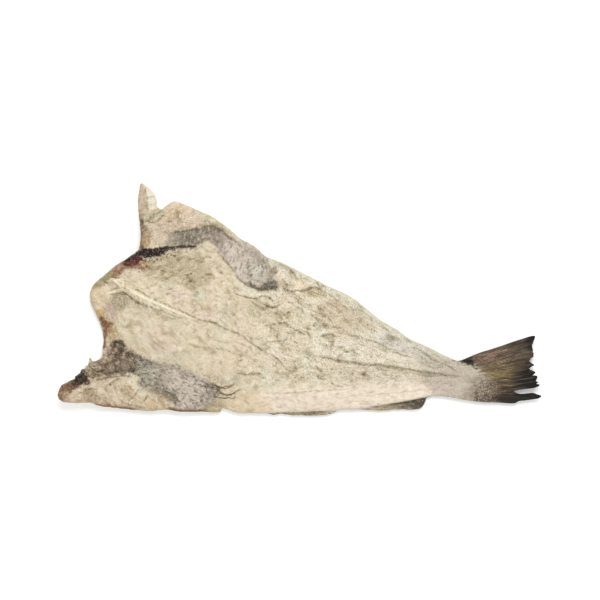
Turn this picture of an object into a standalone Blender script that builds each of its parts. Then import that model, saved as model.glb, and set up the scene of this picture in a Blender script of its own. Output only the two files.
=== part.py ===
"""Salted dried cod, headed, split open along the belly and dried flat, lying skin side down.

One solid. Lengths in this file are millimetres until build() scales them to metres.
X runs from the head cut (-X) to the tail fin (+X), Y from the lower flank to the upper one,
and Z up from the surface that the fish lies on.
"""

import bmesh
import bpy
import numpy as np
from mathutils.geometry import delaunay_2d_cdt

MM = 0.001
NODE = "split_cod"
COLLECTION = "salted_dried_cod"

# ---- spacing of the vertices ----------------------------------------------------------------
OUTLINE_STEP = 7.0         # along the outline
SURFACE_STEP = 9.6         # over the faces
ROW_STEP = 8.0             # along ridges, grooves and flesh edges
EDGE_ROWS = (2.0, 6.5)     # insets of the rows that round the edge
LINE_CLEARANCE = 6.0       # from the outline to the ends of the lines' rows
SURFACE_CLEARANCE = 9.0    # from the outline to the first vertices of the grid

# ---- thickness ------------------------------------------------------------------------------
LOIN_STATIONS = (-300, -210, -70, 60, 150, 215, 250, 285, 350)
LOIN_THICKNESS = (23, 29, 28, 24, 19, 14.5, 10, 4, 2.6)
EDGE_THICKNESS = 5.5       # dried flank edge
FLANK_REACH = 62.0         # from a flank edge in to the full thickness of the loin
FLANK_REACH_TAIL = 8.0
CUT_THICKNESS = 17.0       # at the head cut, where the shoulder was sliced through
CUT_REACH = 34.0
FLAP_THICKNESS = 8.0       # belly walls
FLESH_STEP = 4.5           # step from the belly wall up to the flesh edge
STEP_WIDTH = 9.0
FLESH_SLOPE = 0.34         # rise of the loin from the flesh edge inwards
NO_LIMIT = 60.0            # added where a flesh edge fades out
FIN_THICKNESS = 2.4
FIN_BASE_SLOPE = 5.0       # over which the flank thins to an anal fin
EDGE_ROUNDING = 0.55       # radius of the edge, as a share of the thickness
LEAST_ROUNDING, MOST_ROUNDING = 1.5, 9.0
EDGE_LOW, EDGE_HIGH = 0.24, 0.58   # where the edge's upright band starts and ends

# ---- height of the skin side above the surface ------------------------------------------------
CONTACT_HALF_WIDTH = 42.0  # flat of the skin side that the fish rests on
CONTACT_BLEND = 30.0       # beyond which the full curl is reached
FLANK_CURL = 5.0           # how far the dried flanks lift off the surface
CURL_REACH = 70.0

# ---- outline, clockwise from the tip of the lower nape --------------------------------------
LOWER_NAPE = [(-344, -146), (-349, -140), (-348, -131), (-343, -123), (-334, -118)]
LOWER_CUT = [(-318, -108), (-316, -102), (-307, -96), (-304, -84), (-300, -89), (-292, -87)]
MIDDLE_CUT = [(-286, -76), (-284, -57), (-292, -27), (-303, -1), (-301, 17), (-271, 46), (-240, 66)]
UPPER_CUT = [(-232, 72), (-230, 94), (-233, 141), (-228, 167)]
UPPER_NAPE = [(-210, 152), (-206, 138), (-199, 130), (-193, 134), (-181, 141)]
UPPER_FLANK = [(-167, 137), (-126, 119), (-105, 104), (-86, 88), (-66, 77), (-51, 63), (-28, 54),
               (12, 34), (73, 4), (99, -16), (142, -45), (185, -69), (229, -89)]
TAIL_UPPER = [(234, -88), (289, -68), (340, -53)]
TAIL_LOWER = [(286, -149), (233, -144), (190, -140)]
ANAL_FIN_REAR = [(183, -143), (181, -149), (175, -157), (167, -159), (99, -160)]
LOWER_FLANK = [(56, -160)]
ANAL_FIN_FRONT = [(48, -164), (38, -167), (-17, -167), (-48, -165)]
BELLY_EDGE = [(-90, -164), (-113, -158), (-117, -162), (-172, -162), (-216, -161), (-292, -153),
              (-301, -149), (-323, -149)]

# Frayed edge of the tail fin, seen from its root: the angle in degrees and the reach of each
# tip and notch, from the upper corner down to the split above the lowest strand.
TAIL_ROOT = (205.0, -112.0)
TAIL_FRAY = [(19.4, 139), (12.9, 136), (10.4, 128.5), (7.6, 134.5), (5.5, 127.5), (2.7, 136), (1.1, 131.5),
             (0.6, 138), (-1.4, 138), (-2.2, 136.5), (-3.1, 140.5), (-4.4, 142.5), (-6.2, 138), (-9.6, 113)]
LAST_STRAND = [(311, -135), (338, -135), (350, -140), (343, -143), (326, -146), (310, -150)]

# ---- lines of the upper face ------------------------------------------------------------------
UPPER_FLESH_EDGE = [(-262, 50), (-233, 67), (-187, 73), (-151, 76), (-142, 87), (-125, 84), (-112, 69),
                    (-92, 49), (-79, 30), (-50, 17)]
LOWER_FLESH_EDGE = [(-296, -62), (-272, -57), (-259, -60), (-250, -71), (-230, -82), (-181, -96),
                    (-144, -114), (-116, -125), (-102, -138), (-107, -155), (-121, -172)]
BACKBONE = [(-257, 22), (-243, 12), (-194, -11), (-154, -27), (-110, -40), (-84, -53), (-44, -79),
            (-25, -96)]
TAIL_GROOVE = [(19, -81), (48, -86), (84, -92), (145, -102), (208, -110), (240, -115)]
ANAL_BASE_REAR = [(192, -138), (145, -147), (102, -154), (62, -162)]
ANAL_BASE_FRONT = [(54, -159), (0, -161), (-54, -163)]
KEEL = [(-255, -18), (-120, -30), (20, -62), (120, -92), (205, -112)]

BACKBONE_HEIGHT = 3.2
BACKBONE_RADIUS = 4.0
CREASE_DEPTH = 1.6         # where the backbone's scar goes on as a crease
GROOVE_DEPTH = 3.0
GROOVE_RADIUS = 4.0
LIP_HEIGHT = 1.6           # raised upper lip of the groove
LIP_OFFSET = 7.0
WAVE_HEIGHTS = (0.8, 0.6)  # slow waves of the dried flesh

# Curled places of the sheet: centre, reach and height.
CURLS = [((-222, 172), 150, 30.0),    # spike of the upper nape
         ((-140, 128), 120, 10.0),    # upper belly flap
         ((-352, -142), 120, 17.0),   # tip of the lower nape
         ((-190, -172), 90, 5.0),     # lower belly flap
         ((352, -100), 110, 6.0)]     # end of the tail fin


def smooth_step(low, high, value):
    t = np.clip((value - low) / (high - low), 0.0, 1.0)
    return t * t * (3.0 - 2.0 * t)


def bell(distance, radius):
    return np.exp(-(distance / radius) ** 2)


def spline(points, step, closed=False):
    """Centripetal Catmull-Rom curve through the points, sampled about every step."""
    points = np.array(points, float)
    count = len(points)
    samples = []
    for i in range(count if closed else count - 1):
        if closed:
            a, b, c, d = (points[(i + k) % count] for k in (-1, 0, 1, 2))
        else:
            a, b, c, d = (points[min(max(i + k, 0), count - 1)] for k in (-1, 0, 1, 2))
        ab, bc, cd = (max(np.linalg.norm(q - p), 1e-9) ** 0.5 for p, q in ((a, b), (b, c), (c, d)))
        leave = (c - b) + bc * ((b - a) / ab - (c - a) / (ab + bc))
        arrive = (c - b) + bc * ((d - c) / cd - (d - b) / (bc + cd))
        pieces = max(1, round(np.linalg.norm(c - b) / step))
        t = (np.arange(pieces) / pieces)[:, None]
        cubic = 2 * (b - c) + leave + arrive
        square = -3 * (b - c) - 2 * leave - arrive
        samples.append(((cubic * t + square) * t + leave) * t + b)
    if not closed:
        samples.append(points[-1:])
    return np.concatenate(samples)


def follow(path, x, y, closed=False):
    """Distance to a path, its side (+1 on the left of its direction) and the fraction along it."""
    starts = path
    runs = np.roll(path, -1, axis=0) - path
    if not closed:
        starts, runs = starts[:-1], runs[:-1]
    lengths = np.hypot(runs[:, 0], runs[:, 1])
    before = np.concatenate([[0.0], np.cumsum(lengths)])
    nearest = np.full(x.shape, np.inf)
    side = np.ones(x.shape)
    along = np.zeros(x.shape)
    for (sx, sy), (rx, ry), length, passed in zip(starts, runs, lengths, before):
        t = np.clip(((x - sx) * rx + (y - sy) * ry) / length ** 2, 0.0, 1.0)
        dx = x - sx - t * rx
        dy = y - sy - t * ry
        distance = np.hypot(dx, dy)
        nearer = distance < nearest
        nearest = np.where(nearer, distance, nearest)
        side = np.where(nearer, np.where(rx * dy - ry * dx >= 0, 1.0, -1.0), side)
        along = np.where(nearer, (passed + t * length) / before[-1], along)
    return nearest, side, along


def inside(outline, x, y):
    crossings = np.zeros(x.shape, int)
    for (ax, ay), (bx, by) in zip(outline, np.roll(outline, -1, axis=0)):
        if ay == by:
            continue
        spans = (y < ay) != (y < by)
        crossings += spans & (x < ax + (y - ay) / (by - ay) * (bx - ax))
    return crossings % 2 == 1


def tail_edge():
    """The tips and notches of the tail fin's frayed edge."""
    rays = [(np.radians(angle), reach) for angle, reach in TAIL_FRAY]
    return [(TAIL_ROOT[0] + reach * np.cos(ray), TAIL_ROOT[1] + reach * np.sin(ray)) for ray, reach in rays]


def fish_outline():
    anchors = (LOWER_NAPE + LOWER_CUT + MIDDLE_CUT + UPPER_CUT + UPPER_NAPE + UPPER_FLANK + TAIL_UPPER
               + tail_edge() + LAST_STRAND + TAIL_LOWER + ANAL_FIN_REAR + LOWER_FLANK + ANAL_FIN_FRONT
               + BELLY_EDGE)
    return spline(anchors, OUTLINE_STEP, closed=True)


# ---- height fields ------------------------------------------------------------------------------
def skin_height(x, y, inset):
    """Height of the skin side: flat along the keel, curled up towards the flanks and the napes."""
    flat_width = CONTACT_HALF_WIDTH * smooth_step(250, 60, x)
    off_flat = follow(spline(KEEL, ROW_STEP), x, y)[0] - flat_width
    near_edge = 1.0 - smooth_step(0.0, CURL_REACH, inset)
    height = FLANK_CURL * near_edge
    for (cx, cy), reach, rise in CURLS:
        height = height + rise * smooth_step(0.0, 1.0, 1.0 - np.hypot(x - cx, y - cy) / reach)
    return height * smooth_step(0.0, CONTACT_BLEND, off_flat)


def flesh_limit(x, y):
    """Most that the flesh may be thick: thin belly walls, a step up at the flesh edge, then a slope."""
    limits = []
    for edge, outer_side, fade in ((UPPER_FLESH_EDGE, 1, 0.82), (LOWER_FLESH_EDGE, -1, 0.68)):
        distance, side, along = follow(spline(edge, ROW_STEP), x, y)
        into_loin = -outer_side * side * distance
        step = FLESH_STEP * smooth_step(-STEP_WIDTH, 0.0, into_loin)
        limit = FLAP_THICKNESS + step + FLESH_SLOPE * np.maximum(into_loin, 0.0)
        limits.append(limit + NO_LIMIT * smooth_step(fade, 1.0, along))
    return np.minimum(*limits)


def soft_least(a, b):
    """The lesser of two thicknesses, with a smooth change from one to the other."""
    return (a ** -4.0 + b ** -4.0) ** -0.25


def anal_fin(x, y):
    """1 on the two anal fins that show below the lower flank."""
    rear = follow(spline(ANAL_BASE_REAR, ROW_STEP), x, y)
    front = follow(spline(ANAL_BASE_FRONT, ROW_STEP), x, y)
    masks = []
    for distance, side, along in (rear, front):
        below = smooth_step(0.0, FIN_BASE_SLOPE, distance) * (side > 0)
        masks.append(below * (along > 0.0) * (along < 1.0))
    return np.maximum(*masks)


def thickness(x, y, inset):
    loin = np.interp(x, LOIN_STATIONS, LOIN_THICKNESS)
    cut = bell(follow(spline(MIDDLE_CUT, ROW_STEP), x, y)[0], CUT_REACH)
    edge = np.minimum(EDGE_THICKNESS + (CUT_THICKNESS - EDGE_THICKNESS) * cut, loin)
    reach = FLANK_REACH_TAIL + FLANK_REACH * smooth_step(330, 60, x)
    grown = np.clip(inset / reach, 0.0, 1.0)
    full = edge + (loin - edge) * grown * (2.0 - grown)
    full = soft_least(full, flesh_limit(x, y))
    return full + (FIN_THICKNESS - full) * anal_fin(x, y)


def surface_lines(x, y):
    """Raised backbone scar, the crease that carries it on, and the groove along the tail."""
    distance, side, along = follow(spline(BACKBONE, ROW_STEP), x, y)
    ridge = BACKBONE_HEIGHT * bell(distance, BACKBONE_RADIUS) * smooth_step(0.62, 0.3, along)
    crease = CREASE_DEPTH * bell(distance, BACKBONE_RADIUS) * smooth_step(0.4, 0.6, along)
    distance, side, along = follow(spline(TAIL_GROOVE, ROW_STEP), x, y)
    faded = smooth_step(0.0, 0.12, along) * smooth_step(1.0, 0.85, along)
    groove = GROOVE_DEPTH * bell(distance, GROOVE_RADIUS) * faded
    lip = LIP_HEIGHT * bell(distance - LIP_OFFSET, GROOVE_RADIUS) * (side > 0) * faded
    return ridge - crease - groove + lip


def undulation(x, y):
    """Slow waves of the dried flesh, strongest on the thick loins."""
    across = WAVE_HEIGHTS[0] * np.sin(x / 19.0 + 0.6 * np.sin(y / 23.0))
    slanted = WAVE_HEIGHTS[1] * np.sin(x / 31.0 - y / 17.0)
    return (across + slanted) * smooth_step(240, 180, x)


def heights(x, y, inset):
    """Heights of the lower and the upper face, with the edge rounded between them."""
    skin = skin_height(x, y, inset)
    solid = thickness(x, y, inset)
    rounding = np.clip(solid * EDGE_ROUNDING, LEAST_ROUNDING, MOST_ROUNDING)
    swell = np.sqrt(1.0 - (1.0 - np.clip(inset / rounding, 0.0, 1.0)) ** 2)
    lower = skin + solid * EDGE_LOW * (1.0 - swell)
    relief = (surface_lines(x, y) + undulation(x, y)) * smooth_step(0.0, 12.0, inset)
    relief = relief * smooth_step(3.0, 12.0, solid)
    upper = skin + solid * (EDGE_HIGH + (1.0 - EDGE_HIGH) * swell) + relief
    return lower, upper


# ---- mesh ---------------------------------------------------------------------------------------
def offset_row(path, distance, closed=False):
    """A copy of the path, moved to its right by the distance."""
    if closed:
        run = np.roll(path, -1, axis=0) - np.roll(path, 1, axis=0)
    else:
        run = np.gradient(path, axis=0)
    run = run / np.maximum(np.hypot(run[:, 0], run[:, 1]), 1e-9)[:, None]
    return path + distance * np.column_stack([run[:, 1], -run[:, 0]])


def clear_of_edge(outline, points, clearance):
    """The points inside the outline that are further from it than the clearance."""
    gap = follow(outline, *points.T, closed=True)[0]
    return points[inside(outline, *points.T) & (gap > clearance)]


def with_spaced(kept, points, spacing):
    """The kept points, and each of the others that lies at least the spacing from all before it."""
    for point in points:
        if np.min(np.hypot(*(kept - point).T), initial=np.inf) > spacing:
            kept = np.vstack([kept, point])
    return kept


def surface_points(outline):
    """Vertices inside the outline: rows along the edge and the lines, and a grid over the rest."""
    kept = np.empty((0, 2))
    for inset in EDGE_ROWS:
        row = offset_row(outline, inset, closed=True)
        kept = with_spaced(kept, clear_of_edge(outline, row, 0.9 * inset), 0.4 * OUTLINE_STEP)
    lines = [(BACKBONE, (0.0, -BACKBONE_RADIUS, BACKBONE_RADIUS)),
             (TAIL_GROOVE, (0.0, -LIP_OFFSET, GROOVE_RADIUS)),
             (UPPER_FLESH_EDGE, (0.0, -STEP_WIDTH)),
             (LOWER_FLESH_EDGE, (0.0, STEP_WIDTH))]
    for line, offsets in lines:
        for offset in offsets:
            row = offset_row(spline(line, ROW_STEP), offset)
            kept = with_spaced(kept, clear_of_edge(outline, row, LINE_CLEARANCE), 0.45 * ROW_STEP)
    low, high = outline.min(axis=0), outline.max(axis=0)
    row_gap = SURFACE_STEP * np.sqrt(0.75)
    grid = []
    for j, y in enumerate(np.arange(low[1], high[1], row_gap)):
        for x in np.arange(low[0] + (j % 2) * SURFACE_STEP / 2, high[0], SURFACE_STEP):
            grid.append((x, y))
    grid = clear_of_edge(outline, np.array(grid), SURFACE_CLEARANCE)
    return with_spaced(kept, grid, 0.62 * SURFACE_STEP)


def sheet_mesh():
    """The flat outline, filled with triangles."""
    outline = fish_outline()
    points = np.vstack([outline, surface_points(outline)])
    rim = list(range(len(outline)))
    filled = delaunay_2d_cdt([tuple(p) for p in points], [], [rim], 1, 1e-5)
    bm = bmesh.new()
    verts = [bm.verts.new((p[0], p[1], 0.0)) for p in filled[0]]
    for corners in filled[2]:
        bm.faces.new([verts[i] for i in corners])
    bm.verts.index_update()
    return bm, outline


def build():
    """The sheet, extruded into a closed solid, with both faces lifted to their heights."""
    bm, outline = sheet_mesh()
    x, y = np.array([v.co[:2] for v in bm.verts]).T
    on_rim = np.array([v.is_boundary for v in bm.verts])
    inset = np.where(on_rim, 0.0, follow(outline, x, y, closed=True)[0])
    lower, upper = heights(x, y, inset)
    below = list(bm.verts)
    upper_at = {tuple(vert.co[:2]): height for vert, height in zip(below, upper)}
    grown = bmesh.ops.extrude_face_region(bm, geom=bm.faces[:])["geom"]
    for item in grown:
        if isinstance(item, bmesh.types.BMVert):
            item.co.z = upper_at[tuple(item.co[:2])]
    for vert, height in zip(below, lower):
        vert.co.z = height
    bmesh.ops.recalc_face_normals(bm, faces=bm.faces[:])
    corners = np.array([v.co for v in bm.verts])
    centre = (corners.min(axis=0) + corners.max(axis=0)) / 2
    to_origin = (-centre[0], -centre[1], -corners[:, 2].min())
    bmesh.ops.translate(bm, verts=bm.verts[:], vec=to_origin)
    bmesh.ops.scale(bm, verts=bm.verts[:], vec=(MM, MM, MM))
    mesh = bpy.data.meshes.new(NODE)
    bm.to_mesh(mesh)
    bm.free()
    mesh.shade_smooth()
    return bpy.data.objects.new(NODE, mesh)


def dried_flesh():
    material = bpy.data.materials.new("dried_flesh")
    material.use_nodes = True
    shader = material.node_tree.nodes["Principled BSDF"]
    shader.inputs["Base Color"].default_value = (0.54, 0.46, 0.34, 1.0)
    shader.inputs["Roughness"].default_value = 0.75
    shader.inputs["Metallic"].default_value = 0.0
    return material


def main():
    for old in list(bpy.data.objects):
        bpy.data.objects.remove(old, do_unlink=True)
    collection = bpy.data.collections.new(COLLECTION)
    bpy.context.scene.collection.children.link(collection)
    fish = build()
    fish.data.materials.append(dried_flesh())
    collection.objects.link(fish)


main()
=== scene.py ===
"""Looks of the salted dried cod: its dried flesh, belly lining, skin, fins and salt.

Shapes are worked out in millimetres in the part's own frame (+X head cut to tail fin,
+Y towards the flank with the pointed nape, +Z up) and scaled to metres as meshes are made.
Colours are given as they look, 0 to 255, and turned linear as they reach a mesh or a material.
"""

import bpy
import numpy as np
from mathutils.geometry import delaunay_2d_cdt
from mathutils.kdtree import KDTree
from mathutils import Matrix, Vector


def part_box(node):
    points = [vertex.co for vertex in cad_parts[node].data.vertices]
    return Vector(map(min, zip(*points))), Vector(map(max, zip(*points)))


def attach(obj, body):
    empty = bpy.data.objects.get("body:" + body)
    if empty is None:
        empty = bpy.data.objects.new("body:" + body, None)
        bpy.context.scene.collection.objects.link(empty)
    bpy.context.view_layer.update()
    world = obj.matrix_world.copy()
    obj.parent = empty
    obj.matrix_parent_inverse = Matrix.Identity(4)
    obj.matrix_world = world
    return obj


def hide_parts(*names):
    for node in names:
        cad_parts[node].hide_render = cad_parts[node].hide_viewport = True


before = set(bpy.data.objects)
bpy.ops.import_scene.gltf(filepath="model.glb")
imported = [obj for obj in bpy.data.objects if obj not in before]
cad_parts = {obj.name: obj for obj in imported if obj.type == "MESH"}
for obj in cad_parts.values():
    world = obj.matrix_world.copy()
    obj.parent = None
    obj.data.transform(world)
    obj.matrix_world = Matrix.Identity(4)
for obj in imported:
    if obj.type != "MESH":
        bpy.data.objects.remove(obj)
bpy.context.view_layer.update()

NODE = "split_cod"
MM = 0.001

# ---- spacing of the vertices ----
OUTLINE_STEP = 1.6
TOP_STEP = 1.38
UNDER_STEP = 3.3
FOLDED_FIN_STEP = 1.7
WALL_ROWS = 4              # steps down the cut edge
ROW_STEP = 5.0             # between the samples of a curve that the solid is shaped by
PATCH_STEP = 3.0           # between the samples of a crease, or of the edge of a patch
EDGE_ROWS = (0.6, 1.5, 2.8, 4.4)    # insets of the rows of vertices along the outline
JITTER = 0.14              # how far the vertices stray, as a share of their spacing

# ---- thickness, as in the solid ----
LOIN_STATIONS = (-300, -210, -70, 60, 150, 215, 250, 285, 350)
LOIN_THICKNESS = (23, 29, 28, 24, 19, 14.5, 10, 4, 2.6)
EDGE_THICKNESS = 5.5
FLANK_REACH = 62.0
FLANK_REACH_TAIL = 8.0
CUT_THICKNESS = 17.0
CUT_REACH = 34.0
FLAP_THICKNESS = 8.0
FLESH_STEP = 4.5           # drop from the flesh edge to the belly wall
STEP_WIDTH = 7.0
FLESH_SLOPE = 0.34
NO_LIMIT = 60.0            # lifts the limit where a flesh edge has faded out
FIN_THICKNESS = 2.0
FIN_RAY_HEIGHT = 0.5
FIN_THINNING = 0.55        # how much thinner the frayed end of the tail fin is than in the solid
LEAST_SHARE = 0.3          # of the thickness, which stays under the deepest creases
EDGE_ROUNDING = 0.40
LEAST_ROUNDING, MOST_ROUNDING = 1.2, 6.0
EDGE_LOW, EDGE_HIGH = 0.24, 0.58    # between which shares of the thickness the cut edge is upright
EDGE_BULGE, EDGE_LAYERS = 0.16, 0.11    # swell of the cut edge and of its layers, as shares of its height

CONTACT_HALF_WIDTH = 42.0  # of the flat along the back
CONTACT_BLEND = 30.0
FLANK_CURL = 5.0
CURL_REACH = 70.0
# Corners that curl up further: place, reach and rise.
CURLS = [((-222, 172), 150, 30.0), ((-140, 128), 120, 10.0), ((-352, -142), 120, 17.0),
         ((-190, -172), 90, 5.0), ((352, -100), 110, 6.0)]

# ---- outline, clockwise from the tip of the lower nape ----
LOWER_NAPE = [(-344, -146), (-349, -140), (-348, -131), (-343, -123), (-334, -118), (-325, -114)]
LOWER_CUT = [(-325, -111), (-318, -108), (-316, -102), (-307, -96), (-304, -84), (-300, -89),
             (-292, -88), (-285, -80)]
MIDDLE_CUT = [(-286, -72), (-284, -57), (-287, -40), (-292, -27), (-303, -1), (-301, 17), (-289, 30),
              (-271, 46), (-252, 58), (-240, 66)]
UPPER_CUT = [(-233, 73), (-230, 86), (-230, 102), (-232, 125), (-233, 141), (-231, 157), (-228, 167)]
UPPER_NAPE = [(-219, 161), (-210, 152), (-206, 142), (-206, 134), (-199, 130), (-193, 134), (-181, 141)]
UPPER_FLANK = [(-167, 137), (-146, 128), (-126, 119), (-105, 104), (-86, 88), (-66, 77), (-51, 63),
               (-28, 54), (12, 34), (37, 21), (73, 4), (99, -16), (115, -29), (142, -45), (155, -55),
               (185, -69), (211, -82), (229, -89)]
TAIL_UPPER = [(234, -88), (258, -78), (289, -68), (318, -58), (340, -53)]
TAIL_LOWER = [(286, -149), (261, -148), (233, -144), (209, -140), (190, -140)]
ANAL_FIN_REAR = [(183, -143), (181, -149), (175, -157), (167, -159), (142, -159), (116, -161), (99, -160)]
LOWER_FLANK = [(76, -159), (56, -160)]
ANAL_FIN_FRONT = [(48, -164), (38, -167), (-17, -167), (-27, -165), (-37, -167), (-48, -165)]
BELLY_EDGE = [(-71, -164), (-90, -164), (-103, -160), (-113, -157), (-116, -162), (-144, -162),
              (-172, -162), (-194, -159), (-216, -161), (-245, -159), (-271, -156), (-292, -153),
              (-301, -149), (-323, -149)]

# Frayed edge of the tail fin, as seen from its root: angle in degrees and reach of each tip
# and notch, from the upper tip to the split above the lowest strand.
TAIL_ROOT = (205.0, -112.0)
TAIL_FRAY = [(19.4, 139), (12.9, 136), (10.4, 128.5), (7.6, 134.4), (5.5, 127.5), (2.7, 136), (1.1, 131.5),
             (0.6, 138), (-1.4, 138), (-2.2, 136.5), (-3.1, 140.6), (-4.0, 137.5), (-4.4, 142.5),
             (-6.2, 138), (-9.6, 113)]
LAST_STRAND = [(310, -133), (317, -136.3), (338, -135), (343, -137), (350, -140), (344, -143),
               (326, -146), (317, -147), (311, -150)]

# ---- lines of the upper face, as in the solid ----
RIDGE_HEIGHT, RIDGE_WIDTH = 2.4, 2.6
GROOVE_DEPTH, GROOVE_WIDTH = 2.4, 2.6
LIP_HEIGHT, LIP_WIDTH = 1.8, 4.5
UPPER_FLESH_EDGE = [(-262, 50), (-233, 67), (-187, 73), (-151, 76), (-142, 87), (-125, 84), (-112, 69),
                    (-92, 49), (-79, 30), (-50, 17)]
LOWER_FLESH_EDGE = [(-296, -62), (-272, -57), (-259, -60), (-250, -71), (-230, -82), (-181, -96),
                    (-144, -114), (-116, -125), (-102, -138), (-107, -155), (-121, -172)]
BACKBONE = [(-257, 22), (-243, 12), (-194, -11), (-154, -27), (-110, -40), (-84, -53), (-44, -79),
            (-25, -96)]
TAIL_GROOVE = [(17, -80), (48, -87), (84, -94), (123, -98), (145, -102), (181, -110), (209, -110),
               (237, -114)]
ANAL_BASE_REAR = [(192, -138), (145, -147), (102, -154), (62, -162)]
ANAL_BASE_FRONT = [(54, -159), (0, -161), (-54, -163)]
# Line of the back, which the flat of the skin side follows.
KEEL = [(-255, -18), (-120, -30), (20, -62), (120, -92), (205, -112)]
# Middle and edges of the body along X, which the fibres of the flesh follow.
CENTRE_X = (-300, -200, -100, -20, 60, 145, 240, 350)
CENTRE_Y = (38, -8, -46, -76, -89, -102, -115, -118)
UPPER_EDGE_X = (-300, -230, -120, -50, 73, 185, 240, 350)
UPPER_EDGE_Y = (70, 95, 110, 64, 5, -68, -88, -55)
LOWER_EDGE_X = (-300, -200, 60, 190, 240, 350)
LOWER_EDGE_Y = (-90, -158, -160, -141, -143, -150)


# ---- small tools ----
def smooth_step(low, high, value):
    """0 at low and beyond it, 1 at high and beyond it, and smooth between; low may be the greater."""
    t = np.clip((value - low) / (high - low), 0.0, 1.0)
    return t * t * (3.0 - 2.0 * t)


def bell(distance, radius):
    """1 at no distance, fading to 0 beyond the radius."""
    return np.exp(-(distance / radius) ** 2)


def noise(x, y, size, seed):
    """Gradient noise, about -1 to 1, with features of the given size; each seed gives its own pattern."""
    u, v = x / size, y / size
    iu, iv = np.floor(u), np.floor(v)
    fu, fv = u - iu, v - iv
    iu, iv = iu.astype(np.int64), iv.astype(np.int64)
    wu = fu ** 3 * (fu * (fu * 6.0 - 15.0) + 10.0)
    wv = fv ** 3 * (fv * (fv * 6.0 - 15.0) + 10.0)

    def corner(i, j):
        mixed = ((iu + i) * 374761393 + (iv + j) * 668265263 + seed * 974711) & 0xFFFFFFFF
        mixed = ((mixed ^ (mixed >> 13)) * 1274126177) & 0xFFFFFFFF
        angle = (mixed ^ (mixed >> 16)) * (2.0 * np.pi / 2 ** 32)
        return np.cos(angle) * (fu - i) + np.sin(angle) * (fv - j)

    low = corner(0, 0) * (1.0 - wu) + corner(1, 0) * wu
    high = corner(0, 1) * (1.0 - wu) + corner(1, 1) * wu
    return (low * (1.0 - wv) + high * wv) * 1.5


def layered(x, y, size, seed, layers=3):
    """Noise with layers over the first, each of half its size and strength."""
    total = np.zeros(np.shape(x))
    for layer in range(layers):
        total = total + noise(x, y, size / 2 ** layer, seed + 31 * layer) / 2 ** layer
    return total / 1.5


def spline(points, step, closed=False):
    """Centripetal Catmull-Rom curve through the points, sampled about every step."""
    points = np.array(points, float)
    count = len(points)
    samples = []
    for i in range(count if closed else count - 1):
        if closed:
            a, b, c, d = (points[(i + k) % count] for k in (-1, 0, 1, 2))
        else:
            a, b, c, d = (points[min(max(i + k, 0), count - 1)] for k in (-1, 0, 1, 2))
        ab, bc, cd = (max(np.linalg.norm(q - p), 1e-9) ** 0.5 for p, q in ((a, b), (b, c), (c, d)))
        leave = (c - b) + bc * ((b - a) / ab - (c - a) / (ab + bc))
        arrive = (c - b) + bc * ((d - c) / cd - (d - b) / (bc + cd))
        pieces = max(1, round(np.linalg.norm(c - b) / step))
        t = (np.arange(pieces) / pieces)[:, None]
        cubic = 2 * (b - c) + leave + arrive
        square = -3 * (b - c) - 2 * leave - arrive
        samples.append(((cubic * t + square) * t + leave) * t + b)
    if not closed:
        samples.append(points[-1:])
    return np.concatenate(samples)


def follow(path, x, y, closed=False):
    """Distance to a path, its side (+1 on the left of its direction) and the fraction along it."""
    starts = path
    runs = np.roll(path, -1, axis=0) - path
    if not closed:
        starts, runs = starts[:-1], runs[:-1]
    lengths = np.hypot(runs[:, 0], runs[:, 1])
    before = np.concatenate([[0.0], np.cumsum(lengths)])
    nearest = np.full(x.shape, np.inf)
    side = np.ones(x.shape)
    along = np.zeros(x.shape)
    for (sx, sy), (rx, ry), length, passed in zip(starts, runs, lengths, before):
        t = np.clip(((x - sx) * rx + (y - sy) * ry) / length ** 2, 0.0, 1.0)
        dx = x - sx - t * rx
        dy = y - sy - t * ry
        distance = np.hypot(dx, dy)
        nearer = distance < nearest
        nearest = np.where(nearer, distance, nearest)
        side = np.where(nearer, np.where(rx * dy - ry * dx >= 0, 1.0, -1.0), side)
        along = np.where(nearer, (passed + t * length) / before[-1], along)
    return nearest, side, along


def trace(points, x, y):
    """What follow() says of the curve through the points."""
    return follow(spline(points, ROW_STEP), x, y)


def normals(path):
    """Unit vectors to the left of a closed path."""
    run = np.roll(path, -1, axis=0) - np.roll(path, 1, axis=0)
    return np.column_stack([-run[:, 1], run[:, 0]]) / np.hypot(run[:, 0], run[:, 1])[:, None]


def inside(outline, x, y):
    """Which points lie inside a closed outline."""
    crossings = np.zeros(x.shape, int)
    for (ax, ay), (bx, by) in zip(outline, np.roll(outline, -1, axis=0)):
        if ay == by:
            continue
        spans = (y < ay) != (y < by)
        crossings += spans & (x < ax + (y - ay) / (by - ay) * (bx - ax))
    return crossings % 2 == 1


def near(points, x, y, reach):
    """Which vertices lie within reach of the points' box."""
    points = np.array(points, float)
    low, high = points.min(axis=0) - reach, points.max(axis=0) + reach
    return (x > low[0]) & (x < high[0]) & (y > low[1]) & (y < high[1])


# ---- outline ----
def tail_edge():
    """Tips and notches of the tail fin."""
    angles, reaches = np.radians([a for a, r in TAIL_FRAY]), np.array([r for a, r in TAIL_FRAY])
    return [(TAIL_ROOT[0] + reach * np.cos(angle), TAIL_ROOT[1] + reach * np.sin(angle))
            for angle, reach in zip(angles, reaches)]


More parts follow.
